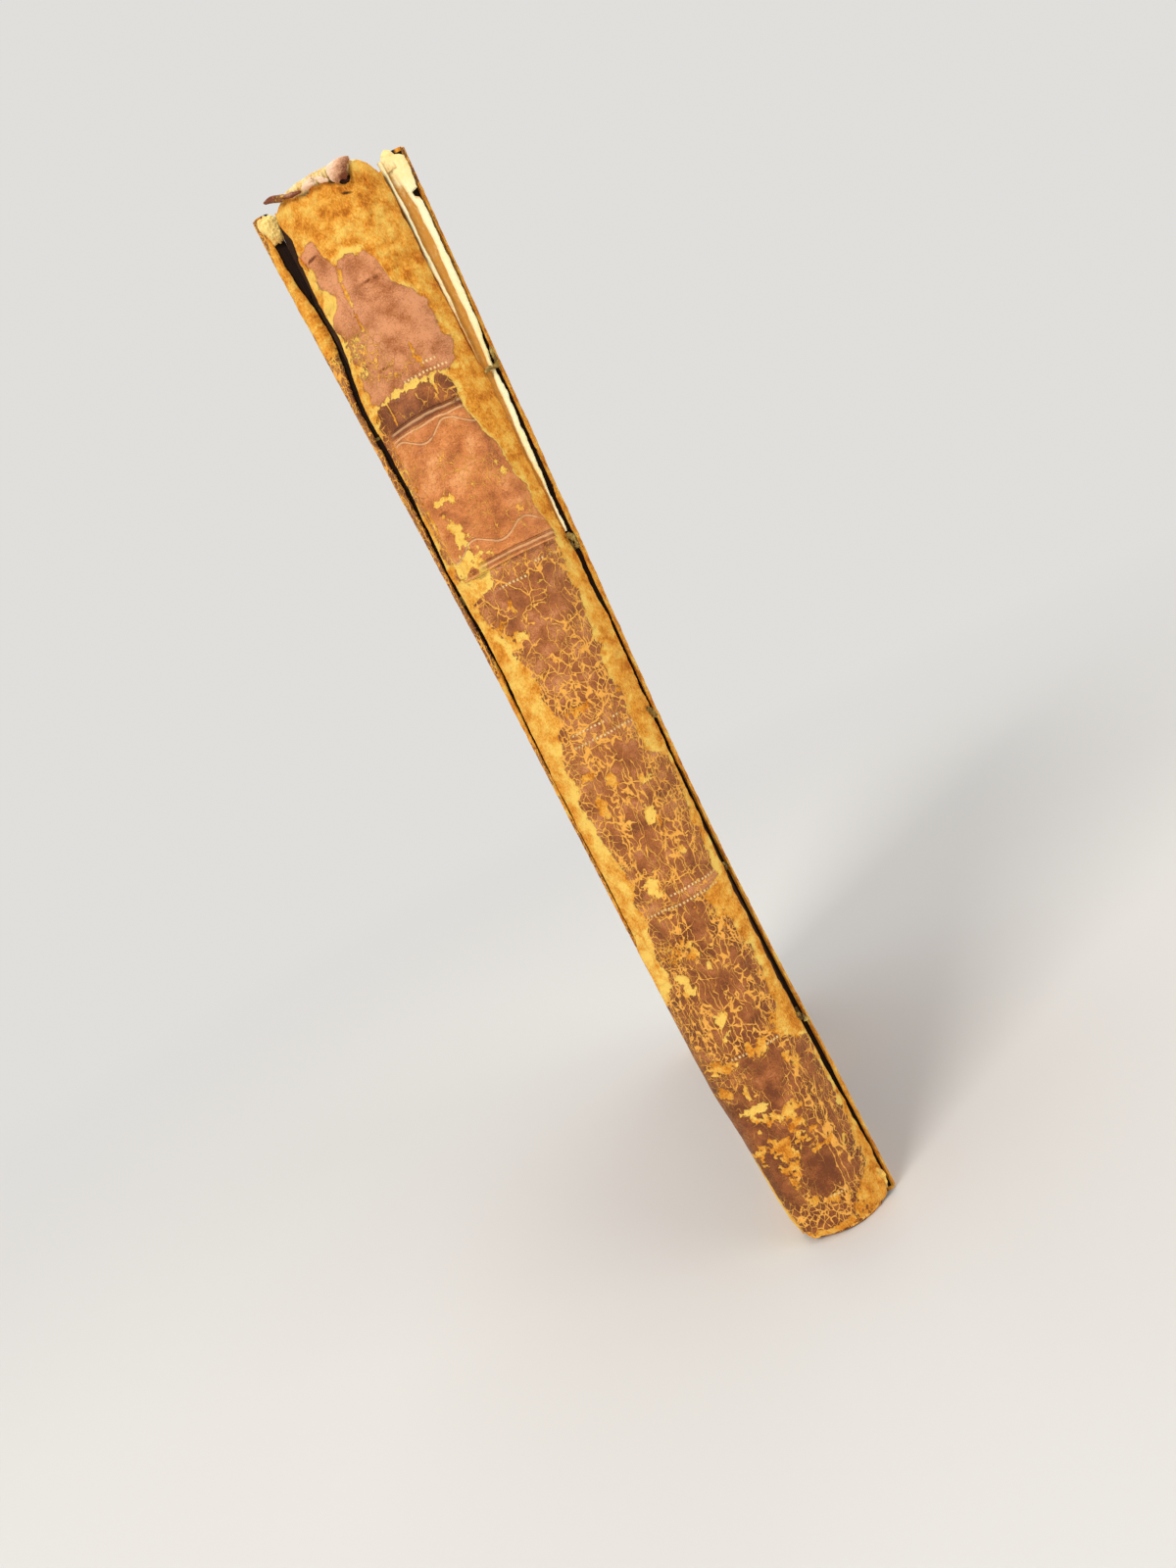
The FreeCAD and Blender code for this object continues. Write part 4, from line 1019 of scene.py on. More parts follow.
    label_flaked: tuple = (
        Patch(-5, 130.2, 1.2, 0.35, 0.5, 0.9), Patch(-3.7, 129.9, 0.45, 0.9, 0.8, 0.95),
        Patch(-4.8, 124.5, 0.9, 1.3, 0.8, 0.95), Patch(-5.5, 126.5, 0.5, 0.8, 0.6, 0.8),
        Patch(-6.4, 120.3, 2.6, 1.3, 0.9), Patch(-4.4, 119.8, 1, 1.4, 0.7), Patch(4.8, 130.2, 0.5, 0.8, 0.8, 0.9),
        Patch(4.4, 131.5, 0.25, 0.45, 0.7, 0.8), Patch(-4.9, 121.6, 0.7, 0.8, 0.9), Patch(-8, 130, 0.5, 9, 0.2, 0.45),
        Patch(6.4, 133, 0.5, 1.8, 0.8, 0.7), Patch(-5.9, 128.2, 0.5, 0.5, 0.3, 0.6),
    )

    # Soft spots where the bare layer is paler: freshly torn leather, and at the head painted highlights on the raw
    # leather.
    fresh_and_highlit: tuple = (
        (-7.2, 96, 1.4, 14, 1), (-7.8, 70, 1.2, 16, 1), (-6.5, 163, 1.6, 4, 1.4), (4, 168, 3, 1.4, 0.9),
        (7.6, 110, 1.2, 8, 0.7), (-6, 118, 3, 2, 1.5), (6.2, 177.2, 1.2, 0.9, 1.6), (-6.6, 176.6, 1.2, 1.2, 1.2),
        (-2, 169.6, 3.4, 0.7, 0.9), (6.6, 161, 0.9, 3, 0.9), (2, 171.4, 2.4, 0.5, 0.8),
    )
    lumps: tuple = (
        (6.5, 177, 1.2, 1.4, 0.45), (4.7, 177, 0.6, 1.2, 0.4), (5.7, 175.4, 0.3, 1.8, -0.4),
        (2.3, 174.7, 1.1, 0.5, -0.5), (-7, 162.6, 0.7, 0.9, 0.25), (2.6, 165.6, 0.8, 1, 0.2),
        (3.4, 163.2, 0.9, 0.5, 0.22), (-5, 172.4, 1.4, 0.5, 0.2), (-0.5, 174, 2.4, 1, 0.15),
        (7.6, 98.8, 0.9, 0.4, 0.35), (-6.4, 119.6, 2, 1, 0.25), (-4.5, 168.4, 0.8, 0.7, 0.2),
    )
    # Dark spots on the label that blacken as painted shade in its holes, and one faint stain.
    label_stains_and_shade: tuple = (
        (-5, 121.9, 0.4, 0.25, -0.6), (-5.6, 119, 0.5, 0.4, -0.6), (-5.9, 128.6, 0.5, 0.2, -0.4),
        (5, 126.8, 2, 0.9, -0.12),
    )

    def edge(self, pairs: tuple, z: Array, seed: int, fray: float = 0.25) -> Array:
        """An edge curve of the leather, frayed by noise."""
        return along(z, pairs) + fray * line_noise(z, 2.2, seed)

    def grain_map(self, x: Array, z: Array) -> tuple:
        """Where the grain of the spine is whole.

        The distance inside the left, right and top borders of the grain, roughened by
        noise, goes through a smooth step, and flaked patches are taken off.

        Args:
            x: Millimetres across the spine.
            z: Millimetres up the spine.

        Returns:
            The grain from 0 to 1, its torn rim from 0 to 1 with the painted highlights of the head, and the distance
            inside.
        """
        wobble = 0.7 * rough_noise(x, z, 3.0, 11) + 0.4 * rough_noise(x, z, 1.0, 23)
        left = x - along(z, self.grain_left)
        right = along(z, self.grain_right) - x
        top = along(x, self.grain_top) - z
        inside = np.minimum(np.minimum(left, right), np.where(z > 147.5, top, 9.0)) + wobble
        whole = smoothstep(-0.7, 0.7, inside)
        cover, pale = patch_cover(self.flaked, x, z, 31)
        rim = np.exp(-(((inside + 0.5) / 0.5) ** 2)) * (0.1 + 0.8 * smoothstep(-0.1, 0.6, rough_noise(x, z, 2.4, 57)))
        rim = rim + 0.35 * zone_sum(self.fresh_and_highlit, x, z)
        return whole * (1 - cover), np.maximum(rim, pale), inside

    def cracks(self, x: Array, z: Array, inside: Array) -> Array:
        """How open the wide, fine and long cracks in the grain are.

        Soft zones set each kind of crack. Cracks open towards the border of the grain
        and close where the grain is sound.

        Args:
            x: Millimetres across the spine.
            z: Millimetres up the spine.
            inside: Distance inside the border of the grain.

        Returns:
            Three strengths for each place.
        """
        calm = np.clip(zone_sum(tuple(spot + (1.0,) for spot in self.sound), x, z), 0, 1)
        cloud = 0.8 + 0.45 * rough_noise(x, z, 5.0, 95)
        near = np.exp(-((np.clip(inside, 0, 9) / 1.3) ** 2)) * smoothstep(150, 140, z)
        wide = zone_sum(self.wide, x, z) * cloud * (1 - 0.8 * calm) + 0.25 * near
        fine = zone_sum(self.fine, x, z) * cloud * (1 - calm) + 0.6 * near + 0.03
        long = zone_sum(self.long, x, z) * cloud * (1 - 0.9 * calm)
        return np.clip(np.stack([wide, fine, long], -1), 0, 1.2)

    def tone(self, x: Array, z: Array) -> Array:
        """Lightness of the leather by height, lighter towards the head partly as painted light from above, with
        stains, lighter patches and painted shade in holes, creases and along raised edges.
        """
        return along(z, self.tones_and_top_light) + zone_sum(self.stains_light_and_shade, x, z) + 0.05 * rough_noise(x, z, 9.0, 97)

    def radius(self, x: Array, z: Array) -> Array:
        """Outer radius of the spine's leather away from its edges, with its relief.

        Whole grain stands out 0.1 mm, noise of several sizes roughens it, most on the bare
        leather at the head, and soft lumps and dents stand where the leather has them.

        Args:
            x: Millimetres across the spine.
            z: Millimetres up the spine.

        Returns:
            The radius at each place.
        """
        whole, _, _ = self.grain_map(x, z)
        relief = 0.10 * whole + 0.05 * rough_noise(x, z, 1.1, 61) + 0.09 * rough_noise(x, z, 5.0, 67)
        bare = smoothstep(150, 158, z) * (1 - whole)
        ridged = 1 - np.abs(rough_noise(x + 0.5 * z, z, 2.6, 79)) * 2
        relief = relief + bare * (
            0.32 * rough_noise(x, z, 1.7, 71) + 0.18 * rough_noise(x, z, 0.7, 73) + 0.18 * ridged
        )
        relief = relief + zone_sum(self.lumps, x, z)
        return BOOK.lining_radius + self.thickness - 0.1 - 0.14 * (1 - whole) + relief

    def leather(self) -> bpy.types.Object:
        """The spine leather as one thick sheet.

        Its points lie on a cylinder about the spine's centre line. A column keeps its
        share of the way from the left to the right edge and a row its share of the way
        up to the torn head. The outer radius is the leather's, less where it thins
        towards torn edges, plus a lift where an edge curls away; the inner face follows.

        Returns:
            The piece.
        """
        share = np.linspace(0, 1, self.cols)[None, :]
        up = np.linspace(0, 1, self.rows)[:, None]
        rough_x = -8.6 + 17.2 * share
        top = along(rough_x, self.top_edge) + 0.35 * line_noise(rough_x, 0.9, 5)
        tail = along(rough_x, self.tail_edge)
        z = tail + up * (top - tail)
        left = self.edge(self.left_edge, z, 41, 0.12)
        right = self.edge(self.right_edge, z, 43, 0.2)
        x = left + (right - left) * share
        lift = np.exp(-((right - x) / 0.8) ** 2) * (0.12 + 0.22 * smoothstep(0, 1, line_noise(z, 6.0, 3)))
        lift = lift + 0.4 * np.exp(-((right - x) / 1.0) ** 2) * smoothstep(14, 8, z)
        lift = lift + np.exp(-((x - left) / 0.9) ** 2) * 0.3 * smoothstep(150, 165, z)
        near_top = np.exp(-((top - z) / 1.2) ** 2)
        lift = lift + near_top * (0.2 + 0.3 * rough_noise(x, z, 1.8, 8))
        whole, rim, inside = self.grain_map(x, z)
        closed = smoothstep(158, 148, z)
        edge = np.minimum(np.minimum(x - left + 3 * closed, right - x + 0.5), np.maximum(top - z, 0))
        thin = self.thickness * 0.55 * (1 - smoothstep(0, 1.4, edge))
        outer_r = self.radius(x, z) - thin + lift - 0.55 * smoothstep(1.6, 0.0, z) ** 2
        outer_r = np.maximum(outer_r, np.hypot(x, BOOK.board_corner))
        inner_r = np.minimum(BOOK.lining_radius + lift, outer_r - 0.12)
        sine = x / outer_r
        cosine = np.sqrt(1 - sine**2)
        outer = np.stack([x, -outer_r * cosine, z], -1)
        inner = np.stack([inner_r * sine, -inner_r * cosine, z], -1)
        skin = grid(np.arcsin(x / BOOK.spine_radius) * BOOK.spine_radius, z, 0.0)
        values = {"skin": skin, "grain": whole, "cracks": self.cracks(x, z, inside), "rim": rim,
                  "shade": self.tone(x, z)}
        return make_shell("spine_leather_skin", outer, inner, values)

    def tail_cap(self) -> bpy.types.Object:
        """The leather turned in under the tail endband.

        A ring strip whose section bends from the spine's outer radius under the tail and
        in to the endband: radius and height follow a quarter turn of the leather's
        thickness, then run level.

        Returns:
            The piece.
        """
        cols = 60
        turn = np.linspace(-0.58, 0.82, cols)[None, :]
        share = np.linspace(0, 1, 14)[:, None]
        radius = 10.9 - 2.8 * share + 0 * turn
        low = 0.02 + 0.35 * np.exp(-(share * 5) ** 2) + 0.06 * rough_noise(turn * 9, share * 3, 1.0, 5)
        low = np.maximum(low, 0.02)
        outer = grid(radius * np.sin(turn), -radius * np.cos(turn), low)
        inner = outer + np.array([0.0, 0.0, 0.62])
        x = outer[..., 0]
        outer[..., 2] += along(x, self.tail_edge)
        inner[..., 2] += along(x, self.tail_edge)
        values = {
            "skin": grid(turn * BOOK.spine_radius, -share * 3, 0.0),
            "grain": smoothstep(0.1, 0.6, 0.3 + rough_noise(x, share * 9, 2.0, 6)),
            "cracks": even(x, 0.5, 0.6, 0.0),
            "rim": np.full_like(x, 0.2),
            "shade": np.full_like(x, -0.1),
        }
        return make_shell("spine_tail_cap", outer, inner, values, flip=True)

    def label(self) -> bpy.types.Object:
        """The title label, a thin second leather with one worn corner and no lettering.

        Points lie on a cylinder just outside the spine leather, between the label's left
        and right edges; its height is noise plus the relief of its grain.

        Returns:
            The piece.
        """
        rows, cols = 170, 110
        z = np.linspace(118.3, 141.35, rows)[:, None] + np.zeros((1, cols))
        share = np.linspace(0, 1, cols)[None, :]
        left = self.edge(self.label_left, z, 141, 0.1)
        right = self.edge(self.label_right, z, 143, 0.25)
        x = left + (right - left) * share
        edge = np.minimum(np.minimum(x - left, right - x), np.minimum(z - 117.9, 141.8 - z))
        cover, pale = patch_cover(self.label_flaked, x, z, 77)
        inside = edge + 0.45 * rough_noise(x, z, 1.6, 81)
        whole = smoothstep(-0.2, 0.6, inside) * (1 - cover)
        rim = np.maximum(np.exp(-(((right - x) / 0.8) ** 2)) * 0.9, pale)
        relief = 0.07 * whole + 0.05 * rough_noise(x, z, 1.2, 83) + 0.07 * rough_noise(x, z, 5.0, 85)
        relief = relief + 0.2 * smoothstep(0.5, 0.9, cover) * rough_noise(x, z, 0.9, 87)
        seat = self.radius(x, z) + 0.06
        outer_r = seat + 0.03 + 0.12 * smoothstep(0, 0.6, edge) + 0.7 * relief
        sine = x / BOOK.spine_radius
        angle = np.arcsin(sine)
        outer = np.stack([outer_r * sine, -outer_r * np.cos(angle), z], -1)
        inner = np.stack([(seat - 0.2) * sine, -(seat - 0.2) * np.cos(angle), z], -1)
        skin = grid(angle * BOOK.spine_radius, z, 0.0)
        cloud = rough_noise(x, z, 4.0, 99)
        cracks = grid(0.10 + 0.25 * smoothstep(0.1, 0.8, cloud), 0.08 + 0.35 * smoothstep(0.2, 0.9, -cloud), 0.05)
        shade = 0.08 * rough_noise(x, z, 6.0, 103) + 0.2 * smoothstep(118.8, 118.3, z)
        shade = shade + 0.1 * np.exp(-((x + 8.0) / 0.9) ** 2) + zone_sum(self.label_stains_and_shade, x, z)
        values = {"skin": skin, "grain": whole, "cracks": cracks, "rim": rim, "shade": shade}
        return make_shell("title_label_skin", outer, inner, values)

    def flap(self) -> bpy.types.Object:
        """The tongue of leather that curls over the endband at the torn head.

        Rows run up the tongue, from its hanging tip in front of the endband, then over
        and back in a roll; its width swells in the middle.

        Returns:
            The piece.
        """
        rows, cols = 64, 36
        up = np.linspace(0, 1, rows)[:, None]
        share = np.linspace(-1, 1, cols)[None, :]
        path_y = smooth_along(up, ((0, -11.35), (0.25, -11.8), (0.5, -11.8), (0.7, -11.3), (0.85, -10.5), (1, -9.6)))
        path_z = smooth_along(up, ((0, 176.2), (0.25, 177.0), (0.5, 178.0), (0.7, 178.8), (0.85, 179.15), (1, 179.1)))
        middle = smooth_along(up, ((0, 2.7), (0.3, 2.4), (0.6, 3.0), (1, 3.6)))
        half = along(up, ((0, 0.5), (0.15, 1.15), (0.4, 1.6), (0.7, 1.8), (1, 1.4)))
        half = half * (1 + 0.14 * line_noise(up * 9, 2.0, 7))
        x = middle + half * share
        bulge = 0.45 * (1 - share**2) + 0.16 * rough_noise(x, up * 8 + 0 * x, 1.2, 19)
        fall = 0.045 * (x - 1) ** 2
        outer = np.stack([x, path_y - bulge * 0.8 + fall, path_z + 0.25 * bulge + 0.04 * (x - middle)], -1)
        inner = outer + np.array([0.0, 0.38, -0.26])
        whole = smoothstep(0.0, 0.5, 0.75 + 0.5 * rough_noise(x, up * 8 + 0 * x, 1.5, 29))
        values = {
            "skin": grid(x, 170 + up * 8, 0.0),
            "grain": whole,
            "cracks": even(x, 0.1, 0.1, 0.0),
            "rim": np.full_like(x, 0.15),
            # Painted light and shade: lighter towards the top of the flap, darker towards its right side and darkest
            # at its hanging tip.
            "shade": 0.22 * up - 0.25 * share - 0.3 * np.exp(-((up / 0.12) ** 2)) + 0 * x,
        }
        return make_shell("spine_torn_flap", outer, inner, values)

    def curls(self) -> list:
        """Small rolled slivers of leather left along the torn head and tail.

        Each is a rod on a bent path whose radius swells in the middle.

        Returns:
            The pieces.
        """
        made = []
        shapes = (
            ("spine_curl_1", ((-9.0, -7.2, 179.7), (-7.2, -9.0, 178.9), (-5.2, -10.6, 177.6), (-3.0, -11.3, 177.2)),
             0.36, -0.2, 0.75),
            ("spine_curl_2",
             ((-3.2, -11.2, 177.3), (-1.8, -11.5, 177.6), (-0.3, -11.6, 177.5), (1.1, -11.5, 176.7)), 0.42, 0.3, 0.8),
            ("spine_curl_3", ((8.7, -7.0, 5.4), (9.2, -6.6, 4.0), (9.35, -6.4, 2.6), (9.0, -6.8, 1.2)), 0.42, 0.2,
             0.2),
            ("spine_curl_4", ((-7.8, -8.2, 170.6), (-7.9, -8.2, 169.6), (-7.7, -8.3, 168.8), (-7.5, -8.5, 168.2)),
             0.22, 0.0, 0.1),
        )
        for name, knots, size, tone, grain in shapes:
            at = np.linspace(0, 1, 30)
            path = bent_path(at, knots)
            radius = size * (0.25 + np.sin(np.pi * at) ** 0.6) * (1 + 0.3 * line_noise(at * 20, 3.0, 4))
            values = {"grain": grain + 0.25 * np.sin(at * 9),
                      "rim": at * 0 + (0.6 if size > 0.4 and tone > 0.1 else 0.1),
                      "shade": at * 0 + tone}
            made.append(make_rod(name, path, radius, 16, values, 0.5, 3, 0.18))
        return made

    def build(self) -> None:
        """Makes and dresses every piece of the spine."""
        rules = (
            Rule(148.9, left=0.6, right=3.8, gaps=0.3), Rule(147.6, left=-3.0, right=5.2, gaps=0.3),
            Rule(116.4, left=2.6, right=7.4),
            Rule(115.1, left=-3.8, right=1.4, gaps=0.2), Rule(90.6, left=-4.2, right=4.6, gaps=0.36),
            Rule(88.7, left=-5.0, right=6.4, gaps=0.3), Rule(62.0, left=-1.6, right=7.4, gaps=0.25),
            Rule(60.2, left=-6.4, right=7.0, gaps=0.3),
            Rule(34.0, left=-4.9, right=-1.2, gaps=0.2), Rule(34.0, left=1.2, right=4.6, gaps=0.2),
            Rule(6.7, left=-0.6, right=3.4, gaps=0.2),
            Rule(142.5, Tool.PRESSED, right=4.4, gaps=0.2), Rule(141.8, Tool.PRESSED, right=4.4, gaps=0.2),
            Rule(142.15, Tool.HIGHLIT, right=4.4, gaps=0.3), Rule(117.9, Tool.PRESSED),
        )
        calf = LeatherFinish("old_calf_spine", rules=rules).material()
        label_rules = (
            Rule(141.05, Tool.HIGHLIT, gaps=0.25), Rule(119.5, Tool.PRESSED, gaps=0.2, left=-5.0, right=9.0),
            Rule(118.8, Tool.PRESSED, gaps=0.2, left=-5.0, right=9.0),
            Rule(119.15, Tool.HIGHLIT, gaps=0.3, left=-5.0, right=9.0),
            Rule(139.5, Tool.HIGHLIT, 1.0, 8.03, -0.469, gaps=0.3),
            Rule(122.15, Tool.HIGHLIT, 0.85, 8.18, 2.811, gaps=0.3),
        )
        red = LeatherFinish(
            "old_calf_label", (0.60, 0.32, 0.14), (0.83, 0.50, 0.255), (0.95, 0.68, 0.43), gloss=0.46,
            rules=label_rules
        ).material()
        curl = LeatherFinish("old_calf_curl", (0.46, 0.22, 0.10), (0.86, 0.63, 0.47), (0.98, 0.84, 0.71)).material()
        dress(self.leather(), calf, Part.BLOCK, Slot.LEATHER, "spine_leather")
        dress(self.tail_cap(), calf, Part.BLOCK, Slot.LEATHER)
        dress(self.label(), red, Part.BLOCK, Slot.LABEL, "title_label")
        dress(self.flap(), curl, Part.BLOCK, Slot.LEATHER)
        for piece in self.curls():
            dress(piece, curl, Part.BLOCK, Slot.LEATHER)


FRONT_PROFILE = (
    (0, 10.6), (8, 10.55), (20, 10.38), (34, 10.05), (44, 9.75), (61, 9.55), (74, 9.65), (86, 9.95), (92, 10.15),
    (98, 10.35), (104, 10.6), (110, 10.85), (117, 11.1), (131, 11.6), (144, 12), (158, 12.5), (179, 13.2),
)
BACK_PROFILE = (
    (0, 9.34), (20, 9.3), (47, 9.55), (61, 9.7), (90, 9.85), (102, 9.95), (117, 10.15), (131, 10.45), (144, 10.8),
    (158, 11.15), (168, 11.45), (179, 11.6),
)
TAIL_ROOM = ((0, 5.2), (2, 5.95), (4, 6.5), (8, 7), (12, 7.25), (16, 7.45), (20, 7.7), (24, 8.1), (27, 8.5), (34, 9))


def half_thickness(side: int, z: Array) -> Array:
    """Half thickness of the book at a cover's outer face by height; side 1 is the front."""
    return smooth_along(z, FRONT_PROFILE if side > 0 else BACK_PROFILE)


def back_limit(y: Array, z: Array) -> Array:
    """How far out the back cover may reach at its crushed tail corner."""
    rounded = along(z,
                    ((-2, 6.0), (0, 6.2), (2, 6.6), (4, 7.0), (8, 7.4), (12, 7.65), (16, 7.85), (20, 8.05), (24, 8.45),
                        (27, 8.85), (34, 9.7), (44, 12.0), (60, 16.0)))
    return rounded + along(y - BOOK.edge_y, ((0, 0), (15, 0.4), (45, 1.2), (102, 2.1)))


@dataclass
class Cover:
    """One cover: its board, the leather turned in round it, and its pastedown."""

    name: str
    side: int
    part: Part
    seed: int
    crushed: bool = False
    corner_rounding: float = 2.4
    paper_margin: float = 4.0

    def crush(self, y: Array, z: Array) -> Array:
        """How far out the cover may reach at its crushed tail corner."""
        return back_limit(y, z) if self.crushed else np.full_like(np.asarray(y + z, float), 50.0)

    def point(self, depth: Array, y: Array, z: Array, spare: Array) -> Array:
        """A point this deep under the outer face.

        The place across is the outer face's half thickness less the depth, held inside
        the crushed corner's plane plus a spare distance.

        Args:
            depth: Millimetres inwards from the outer face.
            y: Local y.
            z: Local z.
            spare: Distance kept outside the crushed plane.

        Returns:
            The points.
        """
        depth, y, z, spare = np.broadcast_arrays(depth, y, z, spare)
        across = np.minimum(half_thickness(self.side, z) - depth, self.crush(y, z) + spare)
        return np.stack([self.side * across, y, z], -1)

    def leather(self) -> bpy.types.Object:
        """The cover's leather: over the outer face, round three edges and turned in.

        Columns go along the tail edge, up the fore-edge and back along the head edge.
        Rows go from the middle of the outer face out to the edge, round it, and in under
        the board, each at its own distance from the edge and depth under the face. The
        two grids are the two faces of the leather. Corners are squeezed to a rounded
        outline, and noise lifts the surface a little.

        Returns:
            The piece.
        """
        top, end, start = BOOK.cover_top, BOOK.cover_end, BOOK.edge_y
        total = BOOK.leather + BOOK.board + BOOK.turn_in
        bend = np.radians(np.linspace(0, 90, 6))
        far = np.concatenate([[89.4], np.linspace(86, 6, 41), [4.4, 3.2, 2.2, 1.5, 1.0]])
        rim_out = 0.75 * (1 - np.sin(bend))
        rim_in = 0.6 * (1 - np.cos(bend))
        distance = np.concatenate([far, rim_out, rim_in, [1.4, 3.0, 6.0, 9.0, 12.4, 13.0]])
        depth = np.concatenate([
            np.zeros(len(far)), 0.75 * (1 - np.cos(bend)), total - 0.6 * (1 - np.sin(bend)), np.full(5, total),
            [total - 0.1],
        ])
        inner_distance = np.maximum(distance, BOOK.leather)
        inner_distance[-1] = 13.0
        inner_depth = np.clip(depth, BOOK.leather, BOOK.leather + BOOK.board)
        inner_depth[: len(far)] = BOOK.leather
        tail = np.linspace(0, 1, 44)
        fore = np.linspace(0, 1, 76)[1:]
        corner_t = np.concatenate([tail, np.ones(len(fore)), tail[::-1][1:]])
        corner_g = np.concatenate([np.zeros(len(tail)), fore, np.ones(len(tail) - 1)])

        def face_points(away: Array, deep: Array, outside: bool) -> Array:
            """Points of one face of the leather, rows by columns."""
            away, deep = away[:, None], deep[:, None]
            y = start + (end - away - start) * corner_t[None, :]
            z = away + (top - 2 * away) * corner_g[None, :]
            rounding = self.corner_rounding
            for level, inward in ((0.0, 1), (top, -1)):
                gap_y = np.clip((rounding - (end - y)) / rounding, 0, 1)
                gap_z = np.clip((rounding - np.abs(z - level)) / rounding, 0, 1)
                squeeze = np.maximum(gap_y, gap_z) / np.maximum(np.hypot(gap_y, gap_z), 1e-9)
                both = (gap_y > 0) & (gap_z > 0)
                y = np.where(both, end - rounding + gap_y * squeeze * rounding, y)
                z = np.where(both, level + inward * rounding * (1 - gap_z * squeeze), z)
            lift = 0.0
            if outside:
                lift = 0.05 * rough_noise(y, z, 14.0, self.seed) + 0.03 * rough_noise(y, z, 3.0, self.seed + 7) - 0.06
                lift = lift * smoothstep(0.2, 3.0, away) * (deep < 0.5)
            return self.point(deep - lift, y, z, np.where(deep < 1.4, 0.32 if outside else 0.05, -0.3))

        outer = face_points(distance, depth, True)
        inner = face_points(inner_distance, inner_depth, False)
        y, z = outer[..., 1], outer[..., 2]
        edge = np.minimum(np.minimum(z, top - z), end - y)
        corner = np.minimum(np.hypot(end - y, z), np.hypot(end - y, top - z))
        joint = y - start
        rough = rough_noise(y, z, 7.0, self.seed + 1)
        wear = smoothstep(3.4, 0.2, edge + 1.3 * rough) + smoothstep(10, 3, corner + 4 * rough)
        wear = wear + smoothstep(3.6, 0.4, joint + 1.6 * rough_noise(y, z, 4.0, self.seed + 2))
        scuff = smoothstep(0.58, 0.82, rough_noise(y * 0.5, z, 11.0, self.seed + 3, 5))
        wear = np.clip(wear + scuff, 0, 1)
        values = {
            "skin": grid(y + self.side * 300, z, depth[:, None]),
            "grain": 1 - wear,
            "cracks": np.clip(grid(
                0.25 + 0.4 * rough_noise(y, z, 16.0, self.seed + 4),
                0.15 + 0.6 * rough_noise(y, z, 11.0, self.seed + 5),
                0.75 * smoothstep(22, 4, joint),
            ), 0, 1),
            "rim": np.clip(0.5 * np.exp(-((wear - 0.5) / 0.2) ** 2), 0, 1),
            # Random tone, and the turned-in leather by the spine edge blackened as painted shade of the joint.
            "shade": 0.10 * rough_noise(y, z, 26.0, self.seed + 6) - 0.05
            - 1.2 * smoothstep(0.9, 0.3, joint) * (depth[:, None] > 1.0),
        }
        return make_shell(self.name + "_leather_skin", outer, inner, values, flip=self.side > 0, weld=True)

    def board(self) -> bpy.types.Object:
        """The pasteboard, a bowed plate inside the leather.

        Two grids at the plate's two depths, with the spine edge a little uneven.

        Returns:
            The piece.
        """
        z = np.linspace(BOOK.leather, BOOK.cover_top - BOOK.leather, 240)[:, None]
        share = np.concatenate([[0, 0.004, 0.012], np.linspace(0.03, 1, 24)])[None, :]
        ragged = 0.1 * line_noise(z, 2.5, self.seed + 9)
        y = BOOK.edge_y + ragged * (1 - share) + (BOOK.cover_end - BOOK.leather - BOOK.edge_y) * share
        z = z + 0 * share
        outer = self.point(np.array(BOOK.leather + 0.02), y, z, -0.02)
        inner = self.point(np.array(BOOK.leather + BOOK.board - 0.02), y, z, -0.4)
        return make_shell(self.name + "_board_plate", outer, inner, flip=self.side < 0)

    def pastedown(self) -> bpy.types.Object:
        """The paper pasted over the turn-ins inside the cover.

        A sheet whose depth steps by the turn-in's thickness, smoothed over 2 mm, where it
        leaves the turned-in leather; fine noise cockles it.

        Returns:
            The piece.
        """
        rows, cols = 110, 70
        margin = self.paper_margin
        z = np.linspace(margin, BOOK.cover_top - margin, rows)[:, None] + np.zeros((1, cols))
        y = np.linspace(BOOK.edge_y + 0.1, BOOK.cover_end - margin, cols)[None, :] + np.zeros((rows, 1))
        z = z + 0.25 * rough_noise(y, z * 0, 9.0, self.seed + 20) * np.where(z < 90, 1, -1)
        inset = np.minimum(np.minimum(z, BOOK.cover_top - z), BOOK.cover_end - y)
        base = BOOK.leather + BOOK.board
        step = BOOK.turn_in * smoothstep(14.4, 12.6, inset)
        deep = base + step + BOOK.paper + 0.03 * rough_noise(y, z, 8.0, self.seed + 22) + 0.02
        hidden = base + step - 0.02
        outer = self.point(deep, y, z, 60.0)
        inner = self.point(hidden, y, z, 60.0)
        return make_shell(self.name + "_pastedown_sheet", outer, inner, flip=self.side > 0)

    def build(self, leather: bpy.types.Material, board: bpy.types.Material, paper: bpy.types.Material) -> None:
        """Makes and dresses the cover's pieces.

        Args:
            leather: Material of the leather.
            board: Material of the board.
            paper: Material of the pastedown.
        """
        dress(self.leather(), leather, self.part, Slot.LEATHER, self.name + "_leather")
        dress(self.board(), board, self.part, Slot.BOARD, self.name + "_board")
        dress(self.pastedown(), paper, self.part, Slot.ENDPAPER, self.name + "_pastedown")


